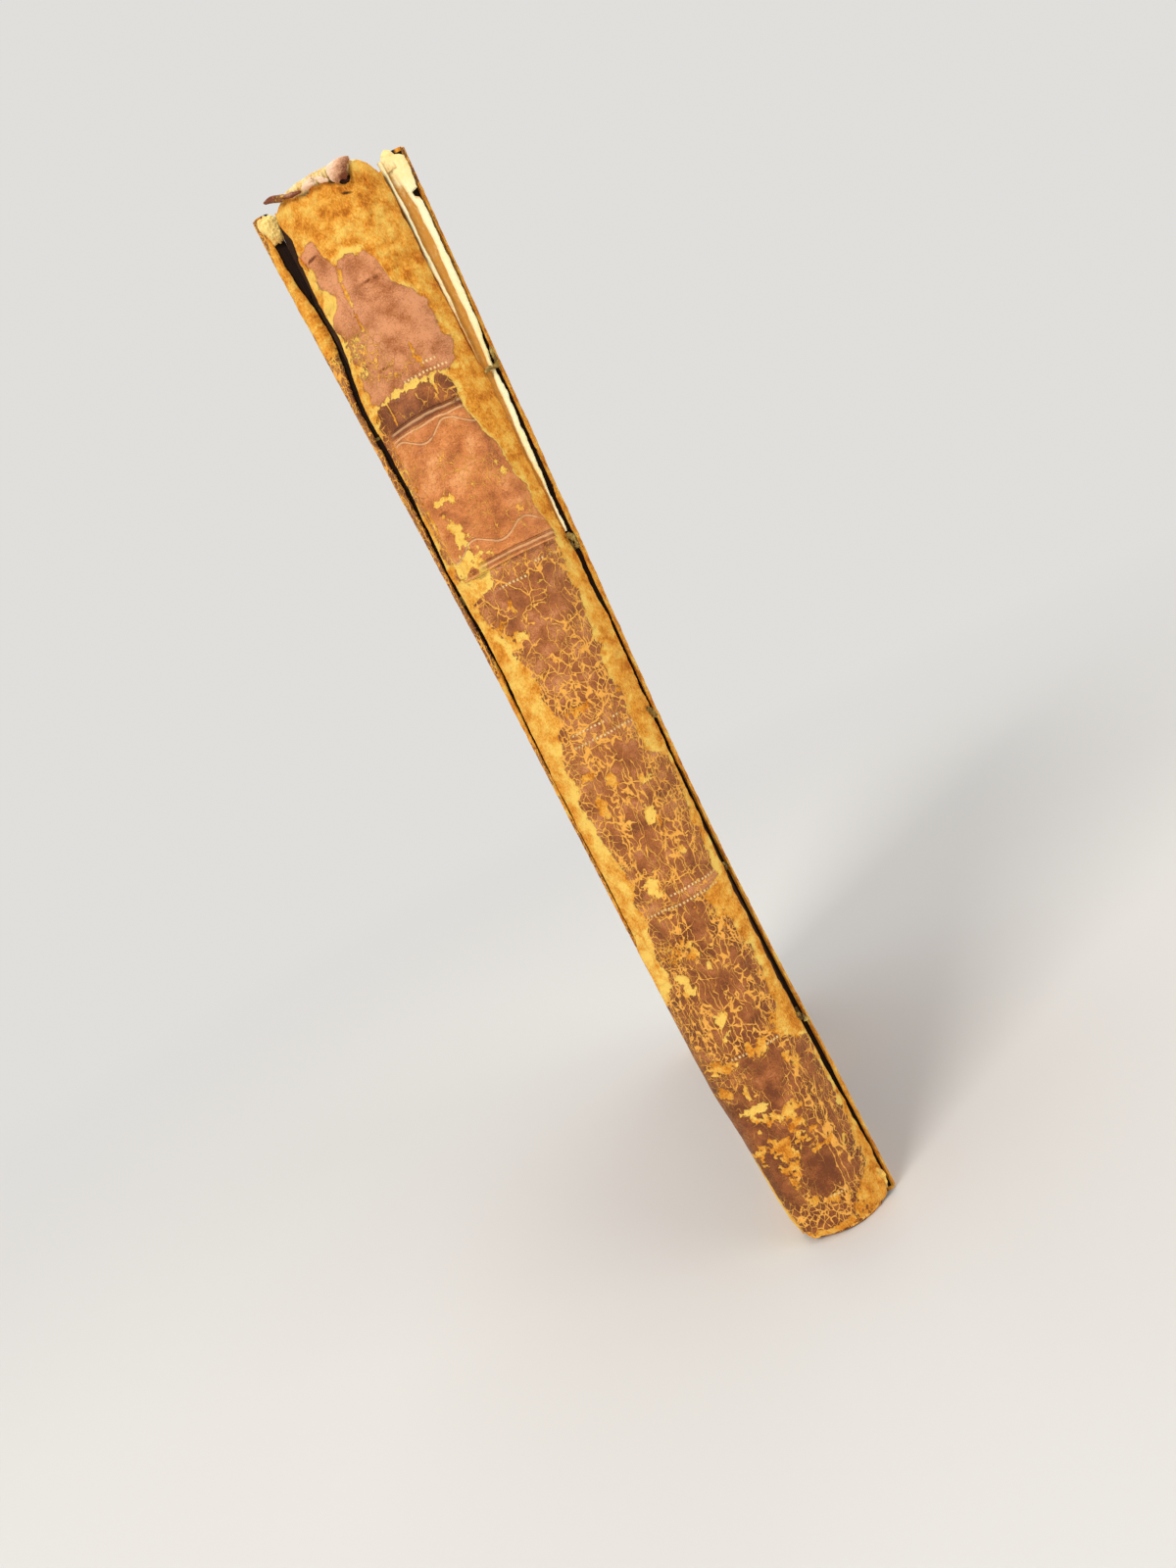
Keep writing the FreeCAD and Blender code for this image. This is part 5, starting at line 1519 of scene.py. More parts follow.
@dataclass
class TextBlock:
    """The leaves of the book, its flyleaves and its endbands."""

    strip_edge: tuple = (
        (118.5, 9.7), (120, 9.85), (125, 9.9), (127, 10), (130.5, 10.3), (134, 10.4), (138, 10.7), (142, 10.9),
        (146, 10.8), (148, 11), (150, 11.3), (152, 11.6), (158, 11.8), (164, 12), (170, 12.2), (171.3, 12.1),
        (171.6, 11.5), (172.3, 11.4), (172.6, 12.4), (174, 12.55), (178, 12.55),
    )
    strip_fold: tuple = (
        (118, 9.3), (122, 9.4), (127, 9.6), (130.5, 9.35), (134, 9.5), (138, 9.8), (142, 10), (146, 10.2),
        (148, 10.4), (152, 10.6), (158, 10.7), (164, 11), (170, 11), (173.5, 10.5), (178, 9.6),
    )

    def leaves(self) -> bpy.types.Object:
        """The block of leaves as one closed body.

        A point is placed by its shares through the thickness, from spine to fore-edge
        and from tail to head. The thickness widens to the shoulders at the spine, the
        spine side is an arc, the fore-edge a shallow hollow, and the three cut edges are
        ridged by noise that follows the leaves. Six faces of the box of shares make the
        surface.

        Returns:
            The piece.
        """
        nx, ny, nz = 121, 46, 90
        a = np.linspace(0, 1, nx)
        b = np.concatenate([[0, 0.4, 0.8, 0.999], np.linspace(1.0, 2.0, ny - 4)])
        c = np.linspace(0, 1, nz)

        def body(sa: Array, sb: Array, sc: Array) -> Array:
            """The point at these shares."""
            sa, sb, sc = np.broadcast_arrays(sa, sb, sc)
            t = 2 * sa - 1
            spine = sb < 0.9995
            height = BOOK.block_tail + (BOOK.block_head - BOOK.block_tail) * sc
            room = np.minimum(BOOK.shoulder, along(height, TAIL_ROOM))
            half = np.where(t < 0, room, BOOK.shoulder)
            x = np.where(spine, half, BOOK.block_half) * t
            arc = -np.sqrt(np.maximum(BOOK.block_radius**2 - (half * t) ** 2, 0))
            fore = BOOK.fore_edge - 2.0 * (1 - t**2) + 0.10 * rough_noise(sa * 200, sc * 4, 2.0, 301, 3)
            fore = fore + 0.18 * rough_noise(sa * 20, sc * 2, 1.0, 303, 2)
            y = np.where(spine, arc + (BOOK.joint_y - arc) * sb, BOOK.joint_y + (fore - BOOK.joint_y) * (sb - 1.0))
            lean = 0.10 * rough_noise(sa * 200, sb * 3, 2.0, 307, 3)
            lean = lean + 0.12 * rough_noise(sa * 20, sb * 2, 1.0, 309, 2)
            low, high = BOOK.block_tail + 0.15 + lean, BOOK.block_head - 0.15 + lean
            return np.stack([x, y, low + (high - low) * sc], -1)

        faces = [
            (body(a[None, :], b[:, None], 1.0), False),
            (body(a[None, :], b[:, None], 0.0), True),
            (body(a[None, :], 2.0, c[:, None]), True),
            (body(a[None, :], 0.0, c[:, None]), False),
            (body(0.0, b[None, :], c[:, None]), True),
            (body(1.0, b[None, :], c[:, None]), False),
        ]
        points, quads, count = [], [], 0
        for face, flip in faces:
            index = numbered(*face.shape[:2], count)
            points.append(BOOK.place(face))
            quads.append(grid_quads(index, flip))
            count += index.size
        return make_object("text_block_leaves", np.concatenate(points), np.concatenate(quads), weld=True)

    def flyleaf(self, name: str, side: int, share: float, shrink: float, seed: int) -> bpy.types.Object:
        """A flyleaf between the block and its cover.

        The sheet stands at a share of the room between the block and the pastedown. It
        cockles towards its free edges and its fore-edge and head are worn uneven.

        Args:
            name: Name of the piece.
            side: 1 at the front, -1 at the back.
            share: Share of the room from the block outwards.
            shrink: Millimetres that the leaf falls short of the block.
            seed: Seed of its shape.

        Returns:
            The piece.
        """
        rows, cols = 90, 44
        up = np.linspace(0, 1, rows)[:, None]
        out = np.linspace(0, 1, cols)[None, :]
        head = BOOK.block_head - 0.4 - shrink + 0.5 * line_noise(out * 90, 14.0, seed)
        z = BOOK.block_tail + 0.3 + (head - BOOK.block_tail - 0.3) * up
        end = BOOK.fore_edge - 0.6 - shrink + 0.5 * line_noise(z, 12.0, seed + 3)
        y = BOOK.joint_y + 0.02 + (end - BOOK.joint_y) * out
        inner_face = half_thickness(side, z) - BOOK.leather - BOOK.board - BOOK.turn_in - BOOK.paper
        room = inner_face - 0.45 - BOOK.block_half
        near = BOOK.block_half + 0.03
        cockle = 0.25 * rough_noise(y, z, 34.0, seed + 5) * smoothstep(8, 50, y - BOOK.joint_y)
        x = near + room * np.clip(share + cockle * 0.3, 0.0, 0.93)
        x = x - (x - near) * 0.35 * smoothstep(10, 95, y - BOOK.joint_y)
        outer = np.stack([side * (x + 0.12), y, z], -1)
        inner = np.stack([side * x, y, z], -1)
        return make_shell(name, outer, inner, flip=side < 0)

    def joint_strip(self) -> bpy.types.Object:
        """The torn fold of the front endpaper, seen along the cracked joint.

        Rows go up the joint and columns across it from the block's shoulder to near the
        board. Its free edge follows the tear. The inner part lies back and is browned as
        painted shade; the outer part is a pale fold that stands forward, and the head is a
        rounded tab.

        Returns:
            The piece.
        """
        rows, cols = 420, 44
        z = np.linspace(118.6, 178.0, rows)[:, None]
        share = np.linspace(0, 1, cols)[None, :]
        free = along(z, self.strip_edge) + 0.10 * line_noise(z, 1.6, 401) + 0.06 * line_noise(z, 0.5, 405)
        fold = along(z, self.strip_fold) + 0.08 * line_noise(z, 2.0, 407)
        x = 8.5 + (free - 8.5) * share
        pale = smoothstep(-0.12, 0.12, x - fold)
        ridge = np.clip((x - fold) / np.maximum(free - fold, 0.2), 0, 1)
        y = -6.0 - pale * (0.18 + 0.30 * np.sin(np.pi * ridge) ** 0.7) - 0.06 * rough_noise(x * 2, z * 0.4, 1.2, 403)
        y = np.minimum(y, -5.9)
        z = z - smoothstep(175.6, 178.0, z) * (share - 0.6) ** 2 * 4
        outer, inner = grid(x, y, z), grid(x, np.minimum(y + BOOK.paper, -5.82), z)
        # The part that lies back is browned as painted shade; lower down and in spots the paper is stained.
        warm = 0.95 * (1 - pale) + 0.25 * smoothstep(135, 125, z) + 0 * x
        head = smoothstep(172, 176, z)
        warm = warm * (1 - 0.75 * head) + 0.5 * head * smoothstep(9.9, 9.4, x)
        spots = zone_sum(((11.9, 171.6, 0.7, 0.7, 1.0), (9.7, 169.0, 0.9, 0.4, 0.4), (9.6, 166.0, 0.25, 1.0, 0.5)),
                         x, z)
        return make_shell("front_joint_paper", outer, inner, {"warm": np.clip(warm + spots, 0, 1)})

    def head_tab(self) -> bpy.types.Object:
        """The rounded top of the outer leaves beside the spine's torn head.

        A dome-shaped sheet whose outline is half an ellipse and which bulges forward.

        Returns:
            The piece.
        """
        rows, cols = 46, 36
        v = np.linspace(0, 1, rows)[:, None]
        u = np.linspace(-1, 1, cols)[None, :]
        x = 10.2 + 1.35 * u * np.sqrt(np.clip(1 - v**2.4, 0.0004, 1)) + 0.1 * v
        z = 176.2 + 3.0 * v + 0.06 * line_noise(x, 0.9, 441) + 0 * u
        y = -6.15 - 0.35 * (1 - u**2) * (1 - 0.5 * v**2) - 0.08 * rough_noise(x, z, 0.8, 443)
        warm = np.clip(0.45 - 0.5 * v + 0.3 * np.abs(u), 0, 1)
        return make_shell("front_head_tab", grid(x, y, z), grid(x, y + 0.22, z), {"warm": warm}, weld=True)

    def shoulder_strip(self) -> bpy.types.Object:
        """The thin pale edge of the outer section that shows beside the torn leather.

        Returns:
            The piece.
        """
        z = np.linspace(146.0, 177.8, 260)[:, None]
        share = np.linspace(0, 1, 14)[None, :]
        middle = along(z, ((146, 9.0), (155, 9.1), (158, 9.15), (162, 9.0), (170, 9.15), (174, 9.0), (178, 8.8)))
        half = 0.36 * (0.7 + 0.3 * lattice_noise(z, z * 0, 3.0, 431)) * smoothstep(145, 156, z) + 0.05
        x = middle + half * (2 * share - 1) + 0.06 * line_noise(z, 0.9, 435)
        y = -6.55 - 0.30 * np.sin(np.pi * share) - 0.07 * rough_noise(z, share * 3 + 0 * z, 1.2, 433)
        outer, inner = grid(x, y, z), grid(x, y + 0.3, z)
        warm = np.clip(0.15 + 0.6 * smoothstep(160, 150, z) + 0.4 * (np.abs(2 * share - 1) > 0.8), 0, 1)
        return make_shell("front_section_fold", outer, inner, {"warm": warm + 0 * x})

    def lining(self) -> bpy.types.Object:
        """The paper lining of the spine, an arc of a tube short of the rounded tail corner.

        Returns:
            The piece.
        """
        z = np.linspace(BOOK.block_tail + 0.2, BOOK.block_head - 0.4, 160)[:, None]
        left = -np.minimum(8.6, along(z, TAIL_ROOM))
        x = left + (8.6 - left) * np.linspace(0, 1, 40)[None, :]
        sine = x / BOOK.lining_radius
        cosine = np.sqrt(1 - sine**2)
        radii = BOOK.lining_radius - 0.02, BOOK.block_radius
        faces = [grid(radius * sine, -radius * cosine, z) for radius in radii]
        return make_shell("spine_lining_paper", *faces)

    def endband(self, name: str, ends: tuple, radius: float, height: float, core: float) -> bpy.types.Object:
        """An endband: a core wound with thread.

        A rod along the spine's arc whose radius rises and falls 0.07 mm with each turn of
        the thread, half a millimetre apart.

        Args:
            name: Name of the piece.
            ends: Angles in degrees where it starts and ends.
            radius: Radius of the arc.
            height: Height of its middle.
            core: Radius of the rod.

        Returns:
            The piece.
        """
        turn = np.radians(np.linspace(*ends, 280))
        dip = 0.35 * (1 - np.cos(turn)) * 2 * (1 if height > 90 else 0)
        path = np.stack([radius * np.sin(turn), -radius * np.cos(turn), height - dip], -1)
        length = radius * (turn - turn[0])
        thick = core + 0.075 * np.sin(2 * np.pi * length / 0.5) + 0.06 * line_noise(length, 1.3, 211)
        middle = (turn - turn.mean()) / (turn[-1] - turn.mean())
        thick = thick * np.sqrt(np.clip(1 - np.abs(middle) ** 14, 0.02, 1))
        return make_rod(name, path, thick, 22)

    def build(self) -> None:
        """Makes and dresses the leaves, flyleaves and endbands."""
        stacked = PaperFinish("leaf_edges", (0.90, 0.82, 0.62), (0.78, 0.64, 0.40), leaf_axis=0,
                              glue_and_shade_before=-5.0).material()
        sheet = PaperFinish("endpaper", (0.97, 0.92, 0.74), (0.93, 0.83, 0.58), stained=0.3).material()
        torn = PaperFinish("torn_endpaper", (1.0, 0.97, 0.80), (0.99, 0.90, 0.62), (0.80, 0.55, 0.22), stained=0.4,
                           toned=True)
        thread = CordFinish("endband_thread", (1.0, 0.95, 0.74), (0.97, 0.84, 0.54), (0.80, 0.56, 0.26)).material()
        hemp = CordFinish("hemp").material()
        paste = PaperFinish("spine_paper", (0.26, 0.15, 0.07), (0.13, 0.07, 0.03)).material()
        dress(self.leaves(), stacked, Part.BLOCK, Slot.LEAVES, "text_block")
        for name, side, share, shrink, seed in (
            ("front_flyleaf_1", 1, 0.02, 0.0, 501), ("front_flyleaf_2", 1, 0.42, 0.5, 521),
            ("front_flyleaf_3", 1, 0.82, 1.0, 541),
            ("back_flyleaf_1", -1, 0.03, 0.2, 561), ("back_flyleaf_2", -1, 0.55, 0.6, 581),
        ):
            dress(self.flyleaf(name + "_sheet", side, share, shrink, seed), sheet, Part.BLOCK, Slot.ENDPAPER, name)
        strip = torn.material()
        dress(self.joint_strip(), strip, Part.BLOCK, Slot.ENDPAPER)
        dress(self.shoulder_strip(), strip, Part.BLOCK, Slot.ENDPAPER)
        dress(self.head_tab(), strip, Part.BLOCK, Slot.ENDPAPER)
        for place, *sizes in (("head_endband", (-45, 45), 9.2, 178.3, 1.2),
                              ("tail_endband", (-33, 44), 9.3, 2.05, 1.08)):
            dress(self.endband(place + "_thread", *sizes), thread, Part.BLOCK, Slot.ENDBAND, place)
        dress(self.lining(), paste, Part.BLOCK, Slot.ENDPAPER, "spine_lining")
        for number in range(1, 6):
            dress_node("sewing_cord_%d" % number, hemp)
            dress_node("front_slip_%d" % number, hemp)
            dress_node("back_slip_%d" % number, hemp)


@dataclass
class Joints:
    """What shows along the two joints: cord stubs, frayed leather and joint leather."""

    back_crack: tuple = (
        (40, 9.35), (60, 9.35), (84, 9.38), (92, 9.3), (98, 9.22), (104, 8.98), (110, 9.15), (116, 9.6), (122, 9.65),
        (128, 9.5), (134, 9.6), (140, 9.8), (146, 10.1), (149, 10.05), (152, 9.8), (155, 9.3), (158, 8.8), (161, 9),
        (164, 9.25), (167, 9.8), (170, 10.15), (174, 10.3), (179, 10.2),
    )
    front_crack: tuple = (
        (0, 10.1), (8, 10.2), (14, 9.95), (20, 9.6), (26, 9.75), (32, 9.8), (38, 9.5), (44, 9.3), (56, 9.25),
        (62, 9.25), (68, 9.1), (74, 9.25), (80, 9.1), (86, 9.35), (92, 9.65), (98, 9.8), (104, 10), (110, 10.1),
        (116, 10.45), (122, 10.55), (128, 11), (134, 11.1), (144, 11.5), (150, 11.7), (158, 12.1), (170, 12.45),
        (179, 12.6),
    )

    tail_outline: tuple = (
        (0, 5.6), (1, 6.2), (2, 6.85), (4, 7.4), (8, 7.8), (12, 8), (16, 8.2), (20, 8.42), (24, 8.85), (27, 9.2),
        (34, 9.45), (44, 9.55), (60, 9.72),
    )

    def stub(self, name: str, knots: tuple, size: float, seed: int) -> bpy.types.Object:
        """A frayed cord end, a rod with three wound ridges that thins at both ends.

        Args:
            name: Name of the piece.
            knots: Points that it passes near, from the block outwards.
            size: Its radius in the middle.
            seed: Seed of its raggedness.

        Returns:
            The piece.
        """
        at = np.linspace(0, 1, 48)
        path = bent_path(at, knots)
        path[:, 2] += 0.15 * line_noise(at * 6, 1.0, seed)
        radius = size * (0.8 + 0.4 * line_noise(at * 10, 1.5,
                                                seed + 1)) * np.clip(np.sin(np.pi * (0.06 + 0.88 * at)) * 2, 0.25, 1)
        return make_rod(name, path, radius, 20, None, 2.4, 3, 0.2)

    def lip(self, name: str, side: int, crack: tuple, low: float, seed: int) -> bpy.types.Object:
        """Leather that a cover keeps round its spine edge.

        Rows go up the joint; columns start on the outer face, turn round the board's
        spine edge and end at the crack, whose edge is ragged.

        Args:
            name: Name of the piece.
            side: 1 for the front cover, -1 for the back.
            crack: Where the lip ends, by height.
            low: Height where the lip starts.
            seed: Seed of its raggedness.

        Returns:
            The piece.
        """
        rows, cols = 420, 30
        z = np.linspace(low, 178.7, rows)[:, None]
        path = np.linspace(0, 3.0, cols)[None, :]
        out = half_thickness(side, z)
        end = along(z, crack) + 0.10 * line_noise(z, 2.2, seed) + 0.06 * line_noise(z, 0.7, seed + 1)
        end = np.minimum(end, out - 0.25)
        round_off = np.clip((path - 1.1) / 0.8, 0, 1)
        bend = np.sin(round_off * np.pi / 2), 1 - np.cos(round_off * np.pi / 2)
        x_face = out + 0.05 - 0.35 * bend[1]
        y_face = -3.6 - 1.75 * np.clip(path / 1.1, 0, 1) - 0.35 * bend[0]
        inward = np.clip((path - 1.9) / 1.1, 0, 1)
        x = np.where(path < 1.9, x_face, out - 0.30 + (end - out + 0.30) * inward)
        y = np.where(path < 1.9, y_face, -5.72 - 0.28 * np.sin(np.pi * inward) - 0.1 * inward) + 0 * z
        relief = 0.08 * rough_noise(path * 3, z, 1.4, seed + 2) + 0.05 * rough_noise(path * 3, z, 0.6, seed + 3)
        turned = path > 1.5
        x_out = np.where(turned, x, x + relief)
        y_out = np.where(turned, y - np.abs(relief), y)
        outer = grid(side * x_out, y_out, z)
        inner = grid(side * (x - np.where(turned, 0.0, 0.25)), y + np.where(turned, 0.26, 0.0), z)
        kept = smoothstep(112, 124, z) if side > 0 else 1.0 - 0.45 * smoothstep(110, 80, z)
        grown = 0.15 if side > 0 else 0.42
        whole = smoothstep(-0.2, 0.6, grown + 0.7 * rough_noise(path * 2, z * 0.5, 4.0, seed + 4))
        whole = whole * (1 - 0.4 * inward) * kept
        values = {
            "skin": grid(side * (12 + path), z, 0 * x),
            "grain": whole,
            "cracks": even(x, 0.2, 0.5, 0.6),
            "rim": np.clip(0.25 * rough_noise(path + 0 * z, z, 4.0, seed + 5), 0, 1),
            # Random tone, darker where the lip turns in to the crack: painted shade of the joint.
            "shade": -0.12 * inward + 0.10 * rough_noise(path + 0 * z, z, 6.0, seed + 6) - 0.1 * (inward > 0.9),
        }
        return make_shell(name, outer, inner, values, flip=side > 0)

    def joint_leather(self) -> bpy.types.Object:
        """The leather that still crosses the back joint below mid height.

        Rows go up the joint; columns go from the surface of the spine leather round to
        the outer face of the back cover on a smooth bend. The sheet sinks a little into
        both at its ends, so that no step shows.

        Returns:
            The piece.
        """
        rows, cols = 240, 44
        spine = Spine()
        share = np.linspace(0, 1, cols)[None, :]
        top = 56.4 + 1.2 * np.sin(share * 9) + 0.8 * share
        z = 0.9 + (top - 0.9) * np.linspace(0, 1, rows)[:, None]
        edge = -along(z, spine.left_edge)
        out = along(z, self.tail_outline)
        x0 = edge - 1.3
        y0 = -np.sqrt(spine.radius(-x0, z) ** 2 - x0**2)
        x1 = edge - 0.2
        out_1 = np.maximum(spine.radius(-x1, z), np.hypot(x1, BOOK.board_corner)) + 0.06
        y1 = -np.sqrt(np.maximum(out_1, x1) ** 2 - x1**2)
        x3, y3 = out, np.full_like(z, -4.6)
        x2, y2 = np.maximum(x1, out) - 0.10 + 0 * z, np.minimum(-5.9, (y1 + y3) / 2 - 0.2)
        x4, y4 = out + 0.03, np.full_like(z, -2.4)
        knots_x, knots_y = [x0, x1, x2, x3, x4], [y0, y1, y2, y3, y4]
        where = share * 4
        x, y = np.zeros((rows, cols)), np.zeros((rows, cols))
        for k in range(5):
            weight = np.clip(1 - np.abs(where - k), 0, 1)
            x, y = x + weight * knots_x[k], y + weight * knots_y[k]
        kernel = np.array([1, 2, 3, 2, 1]) / 9.0
        padded_x, padded_y = np.pad(x, ((0, 0), (2, 2)), "edge"), np.pad(y, ((0, 0), (2, 2)), "edge")
        x = sum(kernel[k] * padded_x[:, k:k + cols] for k in range(5))
        y = sum(kernel[k] * padded_y[:, k:k + cols] for k in range(5))
        feather = smoothstep(0, 0.1, share) * smoothstep(1, 0.9, share)
        relief = (0.05 + 0.04 * rough_noise(share * 8 + 0 * z, z, 1.3, 631)) * feather - 0.10 * (1 - feather)
        slope_x, slope_y = np.gradient(x, axis=1), np.gradient(y, axis=1)
        size = np.maximum(np.hypot(slope_x, slope_y), 1e-6)
        nx, ny = slope_y / size, -slope_x / size
        outer = grid(-(x + nx * relief), y + ny * relief, z)
        inner = grid(-(x - nx * 0.28), y - ny * 0.28, z)
        length = np.cumsum(np.concatenate([np.zeros((rows, 1)), np.hypot(np.diff(x, axis=1), np.diff(y, axis=1))],
                                          1), 1)
        arc = -np.arcsin(x0 / BOOK.spine_radius) * BOOK.spine_radius - length
        near = -np.minimum(x, 9.9)
        whole, rim, inside = spine.grain_map(near, z)
        bare = smoothstep(26, 8, z) * smoothstep(0.28, 0.42, share) + 0.5 * smoothstep(44, 50, z)
        values = {
            "skin": grid(arc, z, 0.0),
            "grain": np.clip(whole - 0.8 * bare - 0.35 * smoothstep(0.5, 0.75, share), 0, 1),
            "cracks": spine.cracks(near, z, inside) + np.array([0.0, 0.1, 0.1]),
            "rim": np.clip(rim + 0.6 * bare, 0, 1),
            "shade": spine.tone(near, z) + 0.05 + 0.15 * bare,
        }
        return make_shell("back_joint_leather", outer, inner, values, flip=True)

    def head_fray(self) -> bpy.types.Object:
        """The pale frayed lump of board and leather at the back cover's head corner.

        A rounded sheet over the board's spine edge whose thickness is a smooth dome
        roughened by noise.

        Returns:
            The piece.
        """
        rows, cols = 80, 60
        v = np.linspace(-1, 1, rows)[:, None]
        u = np.linspace(-1, 1, cols)[None, :]
        ragged = 0.25 * rough_noise(u * 2 + 0 * v, v * 2 + 0 * u, 0.7, 649)
        z = 176.5 + 2.1 * v + ragged + 0 * u
        x = 9.55 + 0.25 * v + (1.45 + 0.25 * np.sin(3 * v)) * u * np.sqrt(np.clip(1 - 0.6 * v**2, 0.1, 1))
        dome = np.clip(1 - u**2, 0, 1) ** 0.5 * np.clip(1 - v**2, 0, 1) ** 0.5
        rough = 0.35 * rough_noise(x, z, 1.0, 651) + 0.22 * rough_noise(x, z, 0.4, 653)
        y = -5.98 - (0.9 + rough) * dome
        # Painted light and shade: paler on raised lumps and towards the top, browner in the dips.
        warm = np.clip(0.35 - 0.5 * rough - 0.15 * v, 0, 1)
        return make_shell("back_head_fray", grid(-x, y, z), grid(-x, -5.9, z), {"warm": warm}, flip=True)

    def build(self) -> None:
        """Makes and dresses the joints' pieces."""
        hemp = CordFinish("hemp_stub", (0.80, 0.70, 0.40), (0.58, 0.46, 0.20), (0.28, 0.20, 0.08)).material()
        pulp = PaperFinish("frayed_pulp", (0.99, 0.90, 0.58), (0.96, 0.80, 0.42), (0.78, 0.46, 0.14), stained=0.6,
                           toned=True).material()
        calf = LeatherFinish("old_calf_joint", (0.38, 0.20, 0.10), (0.57, 0.34, 0.17), (0.74, 0.50, 0.30)).material()
        stubs = (
            ("front_cord_stub_1",
             ((9.0, -6.9, 144.5), (9.8, -7.0, 144.9), (10.8, -6.7, 144.6), (11.7, -6.3, 145.2)), 0.40),
            ("front_cord_stub_2",
             ((11.2, -6.4, 144.6), (11.5, -6.6, 145.6), (11.4, -6.5, 146.8), (11.6, -6.2, 147.8)), 0.30),
            ("front_cord_stub_3",
             ((9.2, -6.8, 118.2), (9.9, -6.7, 117.6), (10.2, -6.5, 116.6), (10.0, -6.3, 115.4)), 0.42),
            ("front_cord_stub_4", ((8.4, -7.2, 89.4), (8.9, -7.1, 88.6), (9.2, -6.8, 88.0), (9.3, -6.4, 87.0)), 0.40),
            ("front_cord_stub_5", ((8.3, -7.3, 34.6), (8.9, -7.0, 34.1), (9.3, -6.7, 33.4), (9.5, -6.4, 32.6)), 0.40),
            ("front_cord_stub_6", ((8.3, -7.0, 61.9), (8.6, -6.8, 61.6), (8.9, -6.6, 61.3), (9.2, -6.4, 61.0)), 0.28),
        )
        for number, (name, knots, size) in enumerate(stubs):
            dress(self.stub(name, knots, size, 660 + 3 * number), hemp, Part.BLOCK, Slot.CORD)
        dress(self.lip("back_joint_lip", -1, self.back_crack, 52.0, 611), calf, Part.BACK,
              Slot.LEATHER)
        dress(self.lip("front_joint_lip", 1, self.front_crack, 0.6, 621), calf, Part.FRONT,
              Slot.LEATHER)
        joint = self.joint_leather()
        joint.data.materials.append(calf)
        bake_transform(joint)
        dress(self.head_fray(), pulp, Part.BACK, Slot.LEATHER)


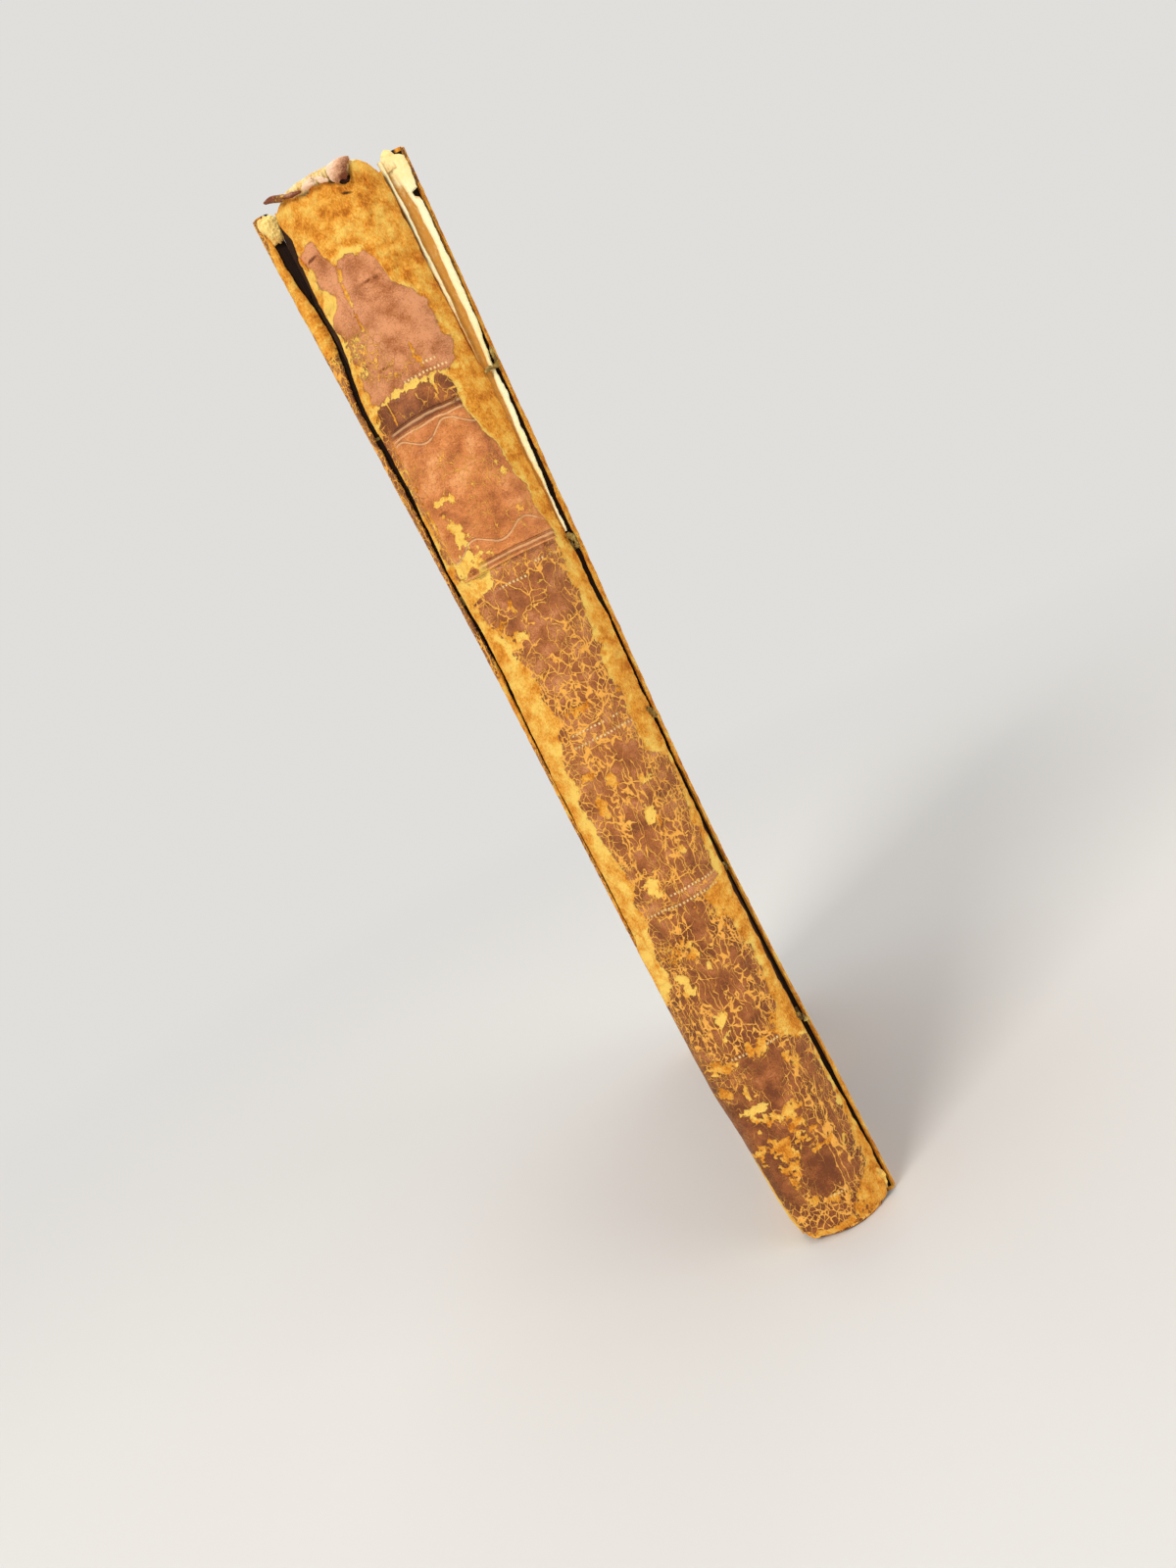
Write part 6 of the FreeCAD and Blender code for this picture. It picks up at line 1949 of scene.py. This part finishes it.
@dataclass
class Studio:
    """Floor, backdrop, lamps and camera."""

    floor_tone: tuple = (0.86, 0.855, 0.845)
    distance: tuple = (0.75, 0.735, 0.715, 1.0)
    lens: float = 27.05
    eye: tuple = (-0.00567, -0.23073, 0.104)
    right: tuple = (0.8925, -0.0527, -0.4476)
    forward: tuple = (0.0, 0.9931, -0.117)

    def stage(self) -> None:
        """A pale floor that curves up into a backdrop.

        Its section runs level, turns through a quarter circle and goes straight up.
        """
        across = np.linspace(-3.0, 3.0, 3)
        bend = np.linspace(0, np.pi / 2, 24)
        section = np.concatenate([
            [[-3.0, 0.0], [0.9, 0.0]],
            np.stack([0.9 + 0.8 * np.sin(bend), 0.8 * (1 - np.cos(bend))], -1)[1:],
            [[1.7, 4.0]],
        ])
        sheet = grid(across, section[:, :1], section[:, 1:])
        backdrop = make_object("studio_floor", sheet.reshape(-1, 3), grid_quads(numbered(*sheet.shape[:2])))
        graph = Graph("studio_paper")
        here = graph.millimetres()
        tint = graph.noise(here, 0.004, 3.0)
        colour = graph.mix(graph.times(tint, 0.1), self.floor_tone, (0.83, 0.825, 0.82))
        paper = graph.finish(colour, 0.95, specular=0.1)
        from_book = graph.node("ShaderNodeVectorMath", {0: here}, operation="LENGTH").outputs["Value"]
        seen = graph.node("ShaderNodeLightPath").outputs["Is Camera Ray"]
        share = graph.times(graph.rise(from_book, 120.0, 620.0), seen)
        glow = graph.node("ShaderNodeEmission", {"Color": self.distance, "Strength": 1.0})
        out = next(node for node in graph.tree.nodes if node.type == "OUTPUT_MATERIAL")
        shader = next(node for node in graph.tree.nodes if node.type == "BSDF_PRINCIPLED")
        total = graph.node("ShaderNodeMixShader", {0: share, 1: shader.outputs[0], 2: glow.outputs[0]})
        graph.tree.links.new(total.outputs[0], out.inputs[0])
        backdrop.data.materials.append(paper)

    def lamp(self, name: str, place: tuple, target: tuple, size: float, power: float, tone: tuple) -> None:
        """Adds one square area lamp.

        Args:
            name: Name of the lamp.
            place: Where it stands, in metres.
            target: What it points at.
            size: Side of the square.
            power: Power in watts.
            tone: Colour.
        """
        data = bpy.data.lights.new(name, "AREA")
        data.size = size
        data.energy = power
        data.color = tone
        lamp = put_in(data, name)
        lamp.location = place
        lamp.rotation_euler = (Vector(target) - Vector(place)).to_track_quat("-Z", "Y").to_euler()

    def camera(self) -> None:
        """The camera of the photograph: near the spine, rolled so that the head leans left."""
        data = bpy.data.cameras.new("view")
        data.sensor_width = 36.0
        data.sensor_fit = "AUTO"
        data.lens = self.lens
        data.clip_start = 0.01
        data.clip_end = 20.0
        right = Vector(self.right).normalized()
        forward = Vector(self.forward).normalized()
        up = right.cross(forward).normalized()
        right = forward.cross(up).normalized()
        turn = Matrix((right, up, -forward)).transposed().to_4x4()
        turn.translation = Vector(self.eye)
        camera = put_in(data, "view")
        camera.matrix_world = turn
        bpy.context.scene.camera = camera

    def build(self) -> None:
        """Sets the stage, lamps, world and camera."""
        self.stage()
        self.camera()
        self.lamp("key", (-0.75, -0.95, 0.95), (0.0, -0.03, 0.10), 0.55, 13.0, (1.0, 0.965, 0.91))
        self.lamp("fill", (0.95, -0.8, 0.45), (0.0, 0.0, 0.09), 0.8, 5.0, (1.0, 0.98, 0.95))
        self.lamp("top", (0.0, 0.25, 1.3), (0.0, 0.0, 0.1), 0.9, 7.0, (1.0, 1.0, 1.0))
        world = bpy.data.worlds.new("studio")
        world.use_nodes = True
        world.node_tree.nodes["Background"].inputs[0].default_value = (1.0, 0.99, 0.97, 1.0)
        world.node_tree.nodes["Background"].inputs[1].default_value = 0.42
        bpy.context.scene.world = world
        bpy.context.scene.view_settings.view_transform = "Standard"


def main() -> None:
    """Builds the book piece by piece."""
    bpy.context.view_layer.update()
    Studio().build()
    LOG.info("studio is set")
    Spine().build()
    LOG.info("spine is built")
    TextBlock().build()
    LOG.info("text block is built")
    calf = LeatherFinish("old_calf_sides", (0.33, 0.18, 0.095), (0.50, 0.30, 0.165), (0.66, 0.44, 0.27)).material()
    board = BoardFinish("pasteboard").material()
    paper = PaperFinish("pastedown_paper", (0.90, 0.84, 0.66), (0.80, 0.69, 0.46), stained=0.6, glue_and_shade_before=-4.2).material()
    Cover("front", 1, Part.FRONT, 700).build(calf, board, paper)
    Cover("back", -1, Part.BACK, 800, crushed=True).build(calf, board, paper)
    LOG.info("covers are built")
    Joints().build()
    LOG.info("joints are built")


if __name__ == "__main__":
    main()
